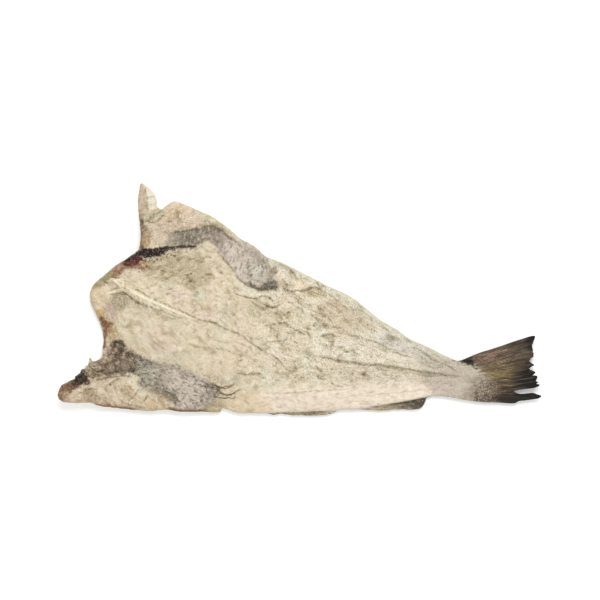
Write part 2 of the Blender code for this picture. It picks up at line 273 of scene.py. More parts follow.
def fish_outline():
    """Closed outline of the fish, slightly ragged, and frayed at the end of the tail."""
    anchors = (LOWER_NAPE + LOWER_CUT + MIDDLE_CUT + UPPER_CUT + UPPER_NAPE + UPPER_FLANK + TAIL_UPPER
               + tail_edge() + LAST_STRAND + TAIL_LOWER + ANAL_FIN_REAR + LOWER_FLANK + ANAL_FIN_FRONT
               + BELLY_EDGE)
    line = spline(anchors, OUTLINE_STEP, closed=True)
    x, y = line.T
    torn = bell(np.hypot(x + 305, y + 100), 22.0)
    ragged = (0.55 * layered(x, y, 7.0, 5, 2) + 1.4 * torn * noise(x, y, 3.6, 6)) * smooth_step(300, 230, x)
    frayed = 1.5 * noise(y, 0.2 * x, 2.4, 7) * smooth_step(312, 322, x) * smooth_step(-60, -66, y)
    return line + normals(line) * ragged[:, None] + np.column_stack([frayed, np.zeros(len(x))])


# ---- height fields, as in the solid ----
def skin_height(x, y, inset):
    """Height of the skin side: flat along the back, and curled up towards the edges."""
    flat_width = CONTACT_HALF_WIDTH * smooth_step(250, 60, x)
    off_flat = trace(KEEL, x, y)[0] - flat_width
    near_edge = 1.0 - smooth_step(0.0, CURL_REACH, inset)
    height = FLANK_CURL * near_edge
    for (cx, cy), reach, rise in CURLS:
        height = height + rise * smooth_step(0.0, 1.0, 1.0 - np.hypot(x - cx, y - cy) / reach)
    return height * smooth_step(0.0, CONTACT_BLEND, off_flat)


def flesh_limit(x, y):
    """Greatest thickness beyond the flesh edges, where only the belly wall is left."""
    limits = []
    for edge, outer_side, fade in ((UPPER_FLESH_EDGE, 1, 0.82), (LOWER_FLESH_EDGE, -1, 0.68)):
        distance, side, along = trace(edge, x, y)
        into_loin = -outer_side * side * distance
        step = FLESH_STEP * smooth_step(-STEP_WIDTH, 0.0, into_loin)
        limit = FLAP_THICKNESS + step + FLESH_SLOPE * np.maximum(into_loin, 0.0)
        limits.append(limit + NO_LIMIT * smooth_step(fade, 1.0, along))
    return np.minimum(*limits)


def anal_fin(x, y):
    """1 on the two anal fins, which begin below their base lines."""
    masks = []
    for base in (ANAL_BASE_REAR, ANAL_BASE_FRONT):
        distance, side, along = trace(base, x, y)
        below = smooth_step(0.0, 2.2, distance) * (side > 0)
        masks.append(below * (along > 0.0) * (along < 1.0))
    return np.maximum(*masks)


def thickness(x, y, inset):
    """Thickness of the solid: thick loins, thin edges, a thicker head cut and thin fins."""
    loin = np.interp(x, LOIN_STATIONS, LOIN_THICKNESS)
    cut = bell(trace(MIDDLE_CUT, x, y)[0], CUT_REACH)
    edge = np.minimum(EDGE_THICKNESS + (CUT_THICKNESS - EDGE_THICKNESS) * cut, loin)
    reach = FLANK_REACH_TAIL + FLANK_REACH * smooth_step(330, 60, x)
    grown = np.clip(inset / reach, 0.0, 1.0)
    full = edge + (loin - edge) * grown * (2.0 - grown)
    full = (full ** -4.0 + flesh_limit(x, y) ** -4.0) ** -0.25
    return full + (FIN_THICKNESS - full) * anal_fin(x, y)


def surface_lines(x, y):
    """Height of the backbone's ridge, and of the groove and lip along the tail."""
    distance, side, along = trace(BACKBONE, x, y)
    ridge = RIDGE_HEIGHT * bell(distance, RIDGE_WIDTH) * smooth_step(0.6, 0.35, along)
    distance, side, along = trace(TAIL_GROOVE, x, y)
    faded = smooth_step(0.0, 0.1, along) * smooth_step(1.0, 0.85, along)
    groove = GROOVE_DEPTH * bell(distance - 1.0, GROOVE_WIDTH) * (0.45 + 0.55 * (side < 0)) * faded
    lip = LIP_HEIGHT * bell(distance - 5.5, LIP_WIDTH) * (side > 0) * faded
    return ridge - groove + lip


def undulation(x, y):
    """Broad waves of the dried flesh."""
    across = 0.8 * np.sin(x / 19.0 + 0.6 * np.sin(y / 23.0))
    slanted = 0.6 * np.sin(x / 31.0 - y / 17.0)
    return (across + slanted) * smooth_step(240, 180, x)


# ---- creases of the upper face ----
CREASE_DEPTH = 0.75        # how deep the creases are cut, as a share of the depths listed
LIP_SHARE = 0.22           # height of the lip above a crease, as a share of the crease's depth; the lip is painted paler too, as painted highlight
# Depth and radius of the cut, how dark it is painted (its brown, with painted shade in and beside it), and
# its course.
CREASES = [
    # beside and beyond the backbone
    (1.2, 1.5, 0.80, [(-262, 13), (-254, 10), (-243, 2), (-231, -5), (-218, -10)]),
    (0.5, 1.2, 0.34, [(-222, -9), (-207, -14), (-188, -21), (-170, -27)]),
    (1.0, 1.1, 0.80, [(-240, 17), (-231, 12), (-222, 6), (-215, 2)]),
    (0.6, 1.0, 0.40, [(-216, 3), (-203, -3), (-190, -8), (-178, -13)]),
    (0.8, 1.4, 0.55, [(-180, -12), (-168, -18), (-156, -24), (-146, -30)]),
    (1.0, 2.2, 0.66, [(-150, -28), (-138, -31), (-126, -33), (-116, -37)]),
    (0.8, 1.3, 0.55, [(-126, -33), (-112, -40), (-99, -45), (-86, -51), (-76, -58), (-61, -69), (-45, -78)]),
    (0.6, 1.3, 0.42, [(-45, -78), (-31, -87), (-21, -99), (-9, -108)]),
    (0.5, 1.5, 0.28, [(-172, -60), (-144, -69), (-126, -70), (-106, -73), (-96, -77), (-63, -86)]),
    (1.0, 2.4, 0.58, [(-94, -105), (-84, -107), (-72, -108), (-62, -107), (-52, -109)]),
    # broken flesh behind the belly
    (0.9, 1.2, 0.78, [(-97, 11), (-86, 6), (-74, 3), (-66, 1), (-51, 5), (-43, 1), (-35, -6)]),
    (0.4, 3.4, 0.30, [(-90, 1), (-92, -9), (-95, -24)]),
    (1.2, 2.4, 0.72, [(-51, -8), (-40, -11), (-30, -9)]),
    (0.9, 1.3, 0.60, [(-18, -3), (-8, -6)]),
    (0.9, 1.6, 0.55, [(-4, -9), (6, -18)]),
    (0.7, 1.6, 0.40, [(-25, -23), (-14, -18)]),
    (1.2, 2.2, 0.62, [(-32, -35), (-22, -34), (-15, -40)]),
    (0.7, 1.8, 0.38, [(-53, -37), (-34, -35)]),
    (1.4, 2.8, 0.70, [(-6, -45), (-1, -47), (8, -50)]),
    (0.7, 1.5, 0.40, [(-54, -60), (-40, -61), (-21, -58), (-12, -56)]),
    (1.3, 2.8, 0.55, [(14, -21), (24, -27), (31, -35), (43, -40)]),
    (1.2, 1.8, 0.66, [(30, -53), (37, -51), (44, -49), (51, -54)]),
    (0.8, 2.2, 0.35, [(48, -58), (44, -73)]),
    (1.5, 1.9, 0.66, [(-27, 17), (-14, 12), (-2, 13), (6, 12), (12, 15), (19, 17), (28, 15), (34, 9)]),
    (1.2, 1.6, 0.60, [(22, -95), (28, -101), (33, -104)]),
    # tail half
    (0.9, 2.1, 0.55, [(17, -80), (48, -86), (84, -92), (123, -96), (145, -99), (168, -103), (188, -106),
                      (213, -109), (240, -112)]),
    (0.8, 1.8, 0.26, [(64, -50), (87, -54), (96, -58), (113, -63), (123, -69), (135, -74)]),
    (0.6, 1.2, 0.30, [(121, -50), (134, -54), (145, -58), (152, -61)]),
    (0.6, 1.1, 0.28, [(131, -74), (145, -79), (164, -84)]),
    (0.8, 1.3, 0.58, [(184, -84), (196, -89), (204, -92), (216, -97), (226, -105)]),
    (0.7, 1.2, 0.30, [(43, -118), (53, -125), (63, -125)]),
    (0.5, 1.2, 0.16, [(-51, -134), (-20, -135), (30, -131), (80, -130)]),
    (0.4, 1.0, 0.14, [(60, -139), (110, -137), (160, -132), (190, -127)]),
    # lower belly flap, its nape and the torn end of the lower lining
    (1.2, 1.6, 0.62, [(-301, -117), (-284, -114), (-270, -112), (-258, -110), (-242, -112)]),
    (1.4, 1.3, 0.85, [(-278, -125), (-269, -118), (-260, -112)]),
    (1.0, 1.3, 0.65, [(-229, -149), (-224, -144), (-221, -138)]),
    (1.0, 1.2, 0.50, [(-247, -145), (-236, -135), (-233, -128)]),
    (0.8, 1.6, 0.45, [(-323, -135), (-311, -132), (-300, -128), (-291, -131)]),
    (0.6, 1.4, 0.60, [(-262, -145), (-250, -151), (-236, -154), (-222, -157)]),
    (0.6, 1.4, 0.75, [(-190, -154), (-178, -160), (-161, -161), (-144, -160), (-132, -157)]),
    (0.9, 1.1, 0.62, [(-130, -118), (-119, -125), (-111, -128), (-101, -125), (-94, -118)]),
    (0.9, 1.3, 0.62, [(-120, -128), (-112, -136), (-105, -138), (-97, -137), (-89, -131), (-82, -129)]),
    (0.6, 1.0, 0.50, [(-117, -142), (-106, -141), (-97, -143), (-92, -135)]),
    (0.9, 1.2, 0.80, [(-208, -129), (-197, -132), (-186, -136), (-178, -143), (-175, -152)]),
    # upper belly flap and lining
    (1.6, 1.7, 0.95, [(-200, 71), (-188, 74), (-172, 76), (-161, 77), (-151, 76)]),
    (0.7, 1.2, 0.50, [(-150, 79), (-142, 86), (-134, 88), (-125, 86)]),
    (0.9, 1.2, 0.60, [(-121, 72), (-112, 60), (-102, 49), (-93, 38)]),
    (1.2, 1.9, 0.72, [(-95, 38), (-86, 28), (-76, 20), (-66, 16)]),
    (1.2, 2.4, 0.70, [(-66, 16), (-55, 14), (-44, 16), (-34, 19)]),
    (0.9, 1.7, 0.62, [(-184, 97), (-170, 98), (-155, 101), (-144, 103)]),
    (0.9, 1.9, 0.66, [(-144, 103), (-126, 106), (-116, 101), (-106, 92), (-95, 86), (-86, 77)]),
    (0.5, 1.2, 0.35, [(-92, 78), (-89, 66), (-92, 54)]),
    (1.1, 1.4, 0.70, [(-222, 113), (-214, 111), (-206, 113), (-200, 117), (-195, 122)]),
    (0.9, 1.0, 0.55, [(-213, 122), (-206, 123), (-200, 128)]),
    (0.6, 1.5, 0.55, [(-191, 112), (-183, 113)]),
    (0.7, 1.4, 0.30, [(-223, 162), (-220, 149), (-219, 135), (-217, 125)]),
    (0.3, 2.0, 0.62, [(-231, 124), (-229, 112), (-226, 100)]),
]

# Thin pale plates at the cut end of the backbone, and their height in mm.
BACKBONE_PLATES = [[(-275, 31), (-265, 30), (-256, 31), (-255, 13), (-263, 21)],
                   [(-279, 9), (-269, 14), (-259, 16), (-249, 14), (-250, 11), (-260, 11), (-269, 9)]]
PLATE_HEIGHT = 1.1

# Black seam where the lining is torn off along the upper flesh edge, and the dark grains below it.
SEAM = [(-246, 64), (-238, 68), (-230, 73), (-216, 74), (-201, 76), (-187, 77), (-172, 78), (-158, 78.5),
        (-150, 77), (-158, 75), (-172, 74.5), (-184, 72.5), (-193, 69), (-202, 63.5), (-216, 60.5),
        (-226, 61.5), (-234, 62.5), (-241, 60.5), (-248, 56), (-254, 54), (-256, 57)]
SEAM_PEPPER = [(-232, 62), (-209, 66), (-192, 71), (-168, 76), (-174, 69), (-190, 60), (-206, 54), (-226, 53)]

# The two bands of belly lining.
UPPER_BAND = [(-234, 69), (-216, 77), (-196, 84), (-187, 96), (-170, 100), (-152, 102), (-136, 106),
              (-122, 106), (-109, 99), (-86, 86), (-69, 79), (-54, 69), (-47, 60), (-43, 51), (-34, 43),
              (-38, 32), (-30, 24), (-34, 15), (-54, 13), (-70, 17), (-82, 26), (-93, 39), (-106, 55),
              (-116, 68), (-125, 82), (-139, 85), (-148, 76), (-172, 73), (-190, 69), (-209, 63),
              (-232, 60)]
LOWER_BAND = [(-283, -76), (-276, -68), (-269, -58), (-258, -58), (-249, -71), (-230, -82),
              (-210, -89), (-180, -96), (-144, -110), (-125, -121), (-117, -131), (-122, -145),
              (-136, -156), (-158, -159), (-178, -159), (-183, -148), (-193, -139), (-213, -132),
              (-230, -125), (-237, -109), (-262, -108), (-284, -112), (-302, -114), (-306, -104),
              (-298, -94), (-292, -88)]
# Along X: tone of the lining, and how peppered it is with dark grains.
UPPER_BAND_TONES = [(-232, (130, 118, 104)), (-190, (128, 118, 104)), (-173, (130, 120, 108)),
                    (-150, (140, 130, 113)), (-135, (150, 138, 118)), (-122, (142, 128, 114)),
                    (-105, (184, 170, 156)), (-92, (201, 188, 174)), (-70, (190, 178, 163)),
                    (-52, (178, 168, 150)), (-40, (154, 143, 122))]
UPPER_BAND_PEPPER = [(-232, 1.0), (-170, 0.9), (-150, 0.5), (-125, 0.25), (-80, 0.3), (-58, 0.7), (-40, 1.0)]
LOWER_BAND_TONES = [(-310, (124, 106, 86)), (-292, (130, 110, 90)), (-270, (116, 97, 78)),
                    (-248, (104, 86, 69)), (-235, (132, 120, 100)), (-212, (157, 146, 127)),
                    (-190, (176, 162, 145)), (-160, (182, 170, 154)), (-135, (174, 161, 144)),
                    (-110, (166, 152, 130))]
LOWER_BAND_PEPPER = [(-292, 0.5), (-262, 0.55), (-240, 1.0), (-205, 0.7), (-170, 0.4), (-130, 0.6),
                     (-110, 0.8)]

# Uneven places in the lining, upper band and lower band: colour, strength, softness and outline.
LINING_PATCHES = [
    [((98, 90, 78), 0.60, 5, [(-184, 76), (-186, 90), (-172, 97), (-158, 92), (-160, 80)]),
     ((96, 88, 70), 0.70, 3, [(-172, 101), (-150, 106), (-126, 109), (-108, 103), (-96, 93), (-112, 96),
                              (-128, 102), (-150, 98)]),
     ((202, 190, 176), 0.60, 6, [(-108, 84), (-90, 76), (-84, 58), (-96, 50), (-106, 62), (-116, 76)]),
     ((196, 191, 173), 0.65, 6, [(-80, 50), (-66, 54), (-54, 38), (-64, 26), (-76, 34)]),
     ((64, 54, 45), 0.75, 3, [(-74, 24), (-60, 20), (-50, 24), (-40, 27), (-32, 26), (-36, 15), (-50, 11),
                              (-66, 14)]),
     ((150, 138, 126), 0.55, 4, [(-78, 76), (-60, 66), (-48, 52), (-56, 50), (-70, 62), (-84, 74)])],
    [((70, 58, 48), 0.80, 3, [(-272, -58), (-261, -58), (-252, -68), (-248, -78), (-258, -82), (-268, -72)]),
     ((132, 114, 94), 0.75, 4, [(-262, -88), (-246, -84), (-240, -96), (-248, -104), (-262, -98)]),
     ((148, 130, 108), 0.70, 4, [(-292, -84), (-276, -80), (-272, -96), (-284, -106), (-298, -98)]),
     ((72, 60, 48), 0.80, 3, [(-268, -96), (-254, -106), (-240, -107), (-238, -98), (-252, -101),
                              (-264, -92)]),
     # painted shade along the fold at the lower border of the lining
     ((84, 72, 54), 0.85, 2.5, [(-208, -128), (-196, -131), (-184, -136), (-176, -145), (-180, -150),
                                (-192, -142), (-206, -134)]),
     ((158, 156, 138), 0.60, 5, [(-236, -88), (-222, -90), (-208, -100), (-208, -112), (-222, -120),
                                  (-236, -108)]),
     ((140, 130, 112), 0.55, 5, [(-216, -112), (-196, -122), (-184, -138), (-178, -148), (-196, -140),
                                  (-216, -126)]),
     ((196, 184, 169), 0.50, 7, [(-190, -104), (-160, -110), (-136, -122), (-134, -140), (-160, -150),
                                  (-180, -136)]),
     ((150, 140, 124), 0.55, 5, [(-138, -120), (-124, -124), (-116, -134), (-122, -146), (-136, -154),
                                  (-146, -140)])],
]

# Coloured places of the upper face, some of them painted shade or painted light as marked: two colours
# that mottle each other, the size of the mottling, strength, softness of the edge, how ragged it is, and the
# outline.
PATCHES = [
    # upper belly flap and nape
    ((217, 198, 175), (206, 185, 160), 8, 0.9, 4, 4,
     [(-229, 71), (-229, 108), (-216, 112), (-201, 122), (-193, 135), (-178, 141), (-121, 114), (-108, 101),
      (-136, 106), (-184, 97), (-193, 86)]),
    ((224, 202, 183), (212, 188, 165), 7, 0.7, 6, 4,
     [(-190, 132), (-172, 138), (-123, 112), (-149, 105), (-178, 106), (-197, 97)]),
    ((205, 181, 146), (214, 193, 161), 5, 0.7, 3, 3,
     [(-193, 128), (-175, 136), (-164, 131), (-172, 116), (-188, 113), (-197, 116)]),
    ((212, 207, 176), (192, 186, 152), 5, 0.7, 3, 2,
     [(-150, 134), (-126, 123), (-84, 92), (-92, 91), (-150, 124)]),
    ((203, 193, 166), (180, 168, 138), 4, 0.85, 2, 2,
     [(-220, 126), (-211, 128), (-203, 134), (-196, 129), (-196, 121), (-207, 115), (-220, 113)]),
    ((160, 134, 104), (184, 160, 128), 5, 0.9, 3, 3,
     [(-230, 112), (-222, 109), (-217, 95), (-219, 77), (-229, 71)]),
    ((92, 78, 64), (138, 120, 94), 3, 0.9, 1.6, 2.5,
     [(-235, 130), (-229, 130), (-225, 104), (-225, 77), (-229, 71), (-236, 86)]),
    ((150, 124, 96), (200, 174, 140), 3, 0.85, 2.5, 3.5,
     [(-226, 96), (-216, 98), (-214, 84), (-222, 76), (-226, 80)]),
    ((200, 183, 160), (176, 156, 130), 5, 0.9, 2, 2,
     [(-228, 167), (-223, 162), (-219, 123), (-228, 117), (-234, 136), (-233, 155)]),
    ((232, 224, 207), (220, 209, 188), 6, 0.95, 1.4, 1.2,
     [(-227, 169), (-209, 151), (-204, 135), (-217, 128), (-220, 139), (-222, 158)]),
    # upper loin
    # painted shade on the flesh below the black seam
    ((184, 168, 138), (164, 148, 114), 7, 0.8, 6, 7,
     [(-236, 54), (-184, 66), (-149, 67), (-135, 54), (-126, 35), (-136, 17), (-172, 22), (-216, 34),
      (-233, 43)]),
    ((218, 203, 179), (204, 188, 160), 6, 0.75, 3, 4,
     [(-138, 82), (-121, 82), (-71, 18), (-86, 14), (-106, 31), (-125, 54)]),
    ((216, 210, 190), (202, 195, 172), 5, 0.8, 3, 4,
     [(-95, 43), (-54, 17), (-25, 11), (-54, 4), (-82, 11), (-96, 27)]),
    ((226, 206, 190), (212, 192, 172), 6, 0.7, 4, 4,
     [(-184, 17), (-164, 15), (-158, 2), (-175, -4), (-190, 4)]),
    # lower belly flap and nape
    ((207, 189, 164), (190, 168, 141), 6, 0.9, 3, 4,
     [(-302, -119), (-282, -113), (-240, -112), (-232, -125), (-219, -134), (-198, -139), (-178, -161),
      (-259, -160), (-336, -148), (-328, -132)]),
    ((150, 124, 98), (186, 164, 136), 3.4, 0.85, 3, 5,
     [(-312, -134), (-302, -131), (-292, -140), (-300, -148), (-311, -144)]),
    ((206, 178, 142), (192, 165, 130), 6, 0.75, 4, 3,
     [(-222, -146), (-205, -146), (-192, -152), (-196, -160), (-218, -161)]),
    ((226, 218, 196), (206, 198, 170), 4, 0.85, 2, 3,
     [(-242, -106), (-232, -104), (-236, -120), (-222, -136), (-230, -140), (-246, -124)]),
    ((168, 144, 108), (190, 166, 130), 4, 0.75, 3, 3,
     [(-258, -126), (-245, -125), (-240, -134), (-249, -139), (-258, -135)]),
    # painted shade of the fold along the lower border of the lower lining
    ((106, 94, 68), (140, 126, 98), 4, 0.85, 3, 3,
     [(-216, -126), (-187, -135), (-177, -146), (-185, -149), (-201, -139), (-217, -134)]),
    ((84, 58, 42), (134, 100, 74), 3.4, 0.97, 2.0, 4,
     [(-352, -132), (-343, -122), (-317, -110), (-303, -119), (-326, -130), (-343, -149), (-351, -141)]),
    ((184, 156, 130), (158, 132, 104), 5, 0.85, 3, 3,
     [(-344, -134), (-334, -131), (-330, -138), (-334, -147), (-343, -146)]),
    ((150, 140, 96), (160, 146, 108), 3, 0.55, 1.5, 2,
     [(-350, -133), (-345, -133), (-344, -141), (-350, -144)]),
    ((28, 23, 21), (80, 65, 54), 3.2, 0.96, 1.6, 4,
     [(-332, -119), (-325, -108), (-317, -101), (-310, -101), (-305, -106), (-306, -116), (-312, -121)]),
    ((188, 186, 154), (116, 110, 84), 3.2, 0.92, 2, 4,
     [(-311, -99), (-305, -83), (-299, -88), (-292, -87), (-289, -99), (-298, -108)]),
    # head cut
    ((122, 84, 62), (156, 122, 96), 4, 0.92, 1.8, 3,
     [(-278, 32), (-272, 45), (-256, 56), (-239, 62), (-226, 58), (-216, 48), (-224, 43), (-252, 44),
      (-260, 35), (-270, 31)]),
    ((52, 22, 20), (104, 48, 38), 3, 0.92, 1.6, 2.5,
     [(-256, 51), (-236, 62), (-229, 61), (-229, 55), (-248, 49)]),
    ((208, 184, 140), (170, 138, 98), 3, 0.85, 1.5, 2.5,
     [(-231, 57), (-223, 54), (-216, 47), (-222, 46), (-230, 51)]),
    ((134, 122, 80), (166, 152, 110), 4, 0.85, 2, 3,
     [(-304, 12), (-299, 24), (-275, 44), (-269, 41), (-295, 11)]),
    ((216, 196, 166), (202, 181, 150), 6, 0.85, 4, 4,
     [(-304, 14), (-292, 17), (-278, 11), (-278, -5), (-285, -17), (-298, -12), (-305, 1)]),
    ((176, 140, 78), (196, 168, 118), 4, 0.90, 2, 3,
     [(-297, -15), (-285, -14), (-281, -21), (-285, -27), (-293, -26)]),
    ((190, 166, 150), (160, 136, 120), 3.6, 0.75, 3, 4,
     [(-282, -8), (-269, -6), (-263, -19), (-269, -30), (-281, -25)]),
    ((98, 66, 44), (146, 106, 76), 3.4, 0.95, 2, 4,
     [(-293, -25), (-279, -28), (-271, -35), (-272, -45), (-279, -53), (-281, -70), (-288, -70),
      (-285, -48)]),
    ((138, 112, 72), (200, 180, 138), 3, 0.70, 2, 4,
     [(-276, -41), (-268, -40), (-262, -48), (-269, -58), (-279, -57)]),
    ((238, 226, 193), (228, 214, 180), 6, 0.95, 1.0, 0.8,
     [(-275, 31), (-265, 30), (-255, 31), (-254, 12), (-263, 21)]),
    ((236, 223, 190), (222, 206, 172), 4, 0.95, 0.8, 0.6,
     [(-279, 9), (-269, 14), (-259, 16), (-249, 14), (-250, 11), (-260, 11), (-269, 9)]),
    # painted shade below the backbone's ridge
    ((186, 172, 146), (112, 98, 76), 2.2, 0.75, 4, 5,
     [(-274, 6), (-249, 8), (-240, 1), (-260, -17), (-268, -19)]),
    # middle of the body
    ((158, 141, 102), (186, 170, 134), 4, 0.85, 4, 4,
     [(6, 22), (24, 22), (41, 12), (30, 4), (9, 11)]),
    ((234, 218, 188), (222, 203, 172), 4, 0.8, 2.5, 3,
     [(-19, 15), (-2, 14), (14, 19), (9, 30), (-28, 19)]),
    ((186, 170, 146), (170, 152, 130), 4, 0.7, 2, 2,
     [(-30, 27), (-14, 28), (-9, 18), (-24, 15)]),
    ((203, 190, 160), (190, 176, 144), 6, 0.6, 7, 6,
     [(-64, -1), (-21, -15), (1, -32), (-28, -44), (-60, -32), (-77, -12)]),
    ((232, 225, 204), (220, 210, 186), 5, 0.8, 4, 5,
     [(9, -53), (22, -47), (35, -54), (31, -69), (12, -67)]),
    ((228, 222, 202), (212, 204, 182), 4, 0.75, 4, 5,
     [(56, -60), (73, -56), (90, -63), (93, -74), (73, -79), (56, -73)]),
    ((198, 181, 154), (184, 166, 138), 5, 0.7, 7, 6,
     [(44, 2), (76, -5), (96, -22), (108, -40), (73, -47), (40, -40), (22, -16)]),
    ((222, 206, 176), (212, 196, 165), 8, 0.6, 8, 6,
     [(-158, -66), (-100, -67), (-77, -80), (-92, -99), (-136, -99), (-161, -82)]),
    # tail half
    ((220, 206, 184), (198, 182, 158), 3.6, 0.7, 3, 4,
     [(32, -89), (243, -118), (217, -125), (145, -126), (73, -118), (32, -106)]),
    ((228, 219, 198), (212, 203, 180), 5, 0.7, 5, 5,
     [(20, -76), (200, -104), (110, -72), (60, -60)]),
    ((205, 199, 189), (190, 183, 171), 5, 0.78, 6, 5,
     [(122, -50), (213, -79), (246, -95), (203, -96), (148, -78), (110, -61)]),
    # pale flesh along the lower edge, painted paler still as painted light where the surface slopes down
    # towards the edge
    ((240, 226, 208), (229, 212, 194), 9, 0.85, 5, 4,
     [(-60, -138), (-5, -128), (196, -123), (190, -136), (44, -162), (-60, -166)]),
    ((228, 207, 175), (218, 195, 161), 8, 0.7, 6, 4,
     [(-112, -150), (-79, -136), (-54, -139), (-40, -151), (-54, -164), (-86, -164), (-106, -159)]),
    ((178, 160, 114), (200, 186, 146), 4, 0.9, 2, 2,
     [(-138, -160), (-132, -151), (-123, -148), (-116, -151), (-115, -161), (-129, -164)]),
    ((188, 178, 162), (168, 158, 143), 5, 0.8, 8, 6,
     [(174, -82), (255, -102), (262, -118), (262, -140), (236, -143), (203, -134), (174, -112)]),
    ((208, 194, 182), (182, 168, 154), 4, 0.80, 5, 4,
     [(188, -119), (214, -120), (236, -129), (238, -143), (214, -143), (194, -139)]),
    ((211, 208, 191), (197, 194, 170), 5, 0.75, 3, 4,
     [(-54, 66), (-20, 50), (16, 32), (52, 14), (74, 2), (106, -23), (140, -42), (180, -66), (214, -82),
      (206, -88), (176, -76), (136, -52), (101, -33), (69, -8), (49, 4), (13, 22), (-22, 41), (-56, 57)]),
]

# How rusty the edge of the lower belly flap is, along X.
RUST_EDGE_X = (-305, -290, -245, -232, -196, -186, -138, -128)
RUST_EDGE = (0, 0.7, 1.0, 0, 0, 1.0, 0.8, 0)

# Flecks of dried blood: place and radius.
BLOOD_SPOTS = [((-221, 48), 2.0), ((-226, 54), 1.3), ((-232, 40), 1.0), ((-246, 39), 0.9), ((-214, 44), 0.8)]

# Round hollows of the lower lining: centre and radii.
LINING_BOWLS = [((-273.5, -98), (8.7, 10.8)), ((-252.6, -96), (10.8, 11.5))]

# Places where the grain of the flesh changes: centre, radii and turn in degrees.
SLANTED_LOIN = ((-168, 38), (64, 38), 20.0)
BACKBONE_TICKS = ((-222, -6), (36, 9), -24.0)


def ellipse(x, y, centre, radii, turn):
    """1 at the centre of an ellipse, fading to 0 outside it."""
    along, across = turned(x - centre[0], y - centre[1], turn)
    return np.exp(-(along / radii[0]) ** 4 - (across / radii[1]) ** 4)


def turned(x, y, degrees):
    """Coordinates along and across a direction."""
    c, s = np.cos(np.radians(degrees)), np.sin(np.radians(degrees))
    return c * x + s * y, c * y - s * x


def depth_inside(points, x, y):
    """Distance from the edge of a closed patch, negative outside it."""
    line = spline(points, PATCH_STEP, closed=True)
    return follow(line, x, y, closed=True)[0] * np.where(inside(line, x, y), 1.0, -1.0)


def patch_mask(points, x, y, softness, ragged, seed):
    """1 inside a closed patch, 0 outside, with a soft and ragged edge."""
    close = near(points, x, y, softness + ragged + 2.0)
    mask = np.zeros(x.shape)
    if close.any():
        cx, cy = x[close], y[close]
        raggedness = layered(cx, cy, 11.0, seed, 2) + 0.7 * noise(cx, cy, 2.8, seed + 9)
        mask[close] = smooth_step(-softness, softness, depth_inside(points, cx, cy) + ragged * raggedness)
    return mask


def grain_frame(x, y):
    """Coordinates along the dried muscle fibres (u) and across them (v), and offset from mid-body."""
    centre = np.interp(x, CENTRE_X, CENTRE_Y)
    off = y - centre
    upper = np.interp(x, UPPER_EDGE_X, UPPER_EDGE_Y) - centre
    lower = centre - np.interp(x, LOWER_EDGE_X, LOWER_EDGE_Y)
    v = off * np.where(off > 0, 95.0 / upper, 75.0 / lower)
    u = x + 5.0 * noise(x, y, 34.0, 11)
    v = v + 4.0 * noise(x, y, 27.0, 12) + 1.6 * noise(x, y, 9.0, 13)
    return u, v, off


def brokenness(x, y, off):
    """How broken up the dried surface is: most behind the belly and over the tail half."""
    behind = smooth_step(-110, -20, x) * smooth_step(245, 190, x)
    strip = smooth_step(-112, -130, y) * smooth_step(-125, -60, x)
    lower_loin = smooth_step(0, -20, off) * smooth_step(-60, -120, x)
    tail = smooth_step(80, 190, x)
    flaps = np.maximum(smooth_step(-106, -118, y), smooth_step(88, 100, y)) * smooth_step(-90, -120, x)
    level = 0.5 + 0.45 * behind - 0.15 * lower_loin - 0.3 * tail + 0.3 * layered(x, y, 45.0, 21, 2)
    spike = smooth_step(118, 130, y) * smooth_step(-198, -206, x)
    level = level + 0.35 * flaps - 0.75 * spike
    return np.clip(level * (1.0 - 0.85 * strip), 0.05, 1.15)


def squiggles(u, v, size, width, seed, cover):
    """Short winding lines: 1 on a line, 0 away from it; cover sets how many there are."""
    line = noise(u, v, size, seed) + 0.4 * noise(u, v, 0.45 * size, seed + 1)
    gate = smooth_step(-0.15, 0.25, noise(u, v, 1.3 * size, seed + 2) + cover)
    return bell(line, width) * gate


def band_depth(points, x, y, seed):
    """Depth in mm inside a wavering patch, negative outside it and far below zero away from it."""
    close = near(points, x, y, 20.0)
    depth = np.full(x.shape, -99.0)
    cx, cy = x[close], y[close]
    depth[close] = depth_inside(points, cx, cy) + 3.0 * layered(cx, cy, 13.0, seed, 2)
    return depth


def lining_masks(x, y):
    """The two bands of lining, and the flecks of it that are left on the flesh around them."""
    seam_end = smooth_step(-214, -186, x + 0.6 * (y - 80)) * (0.35 + 0.65 * smooth_step(-200, -150, x))
    torn = 1.5 - 1.2 * smooth_step(-150, -135, x) * smooth_step(70, 55, y + 0.55 * (x + 80))
    shares = (np.maximum(seam_end, smooth_step(90, 99, y)), 1.0)
    masks, flecks = [], []
    for k, (points, ragged, soft) in enumerate(((UPPER_BAND, torn, 2.4), (LOWER_BAND, 1.1, 3.6))):
        depth = band_depth(points, x, y, 41 + k)
        depth = depth + ragged * (2.0 * noise(x, y, 2.7, 50 + k) + 2.0 * noise(x, y, 5.4, 52 + k))
        masks.append(smooth_step(-soft, soft, depth) * shares[k])
        around = smooth_step(-9.0 * ragged, 0.0, depth) * smooth_step(0.05, 0.6, noise(x, y, 2.8, 54 + k))
        flecks.append(around * shares[k])
    return masks, np.maximum(*flecks)


def pepper(x, y, lower):
    """How peppered with dark grains the lining is, by place along the fish."""
    stations = LOWER_BAND_PEPPER if lower else UPPER_BAND_PEPPER
    return np.interp(x, [place for place, amount in stations], [amount for place, amount in stations])


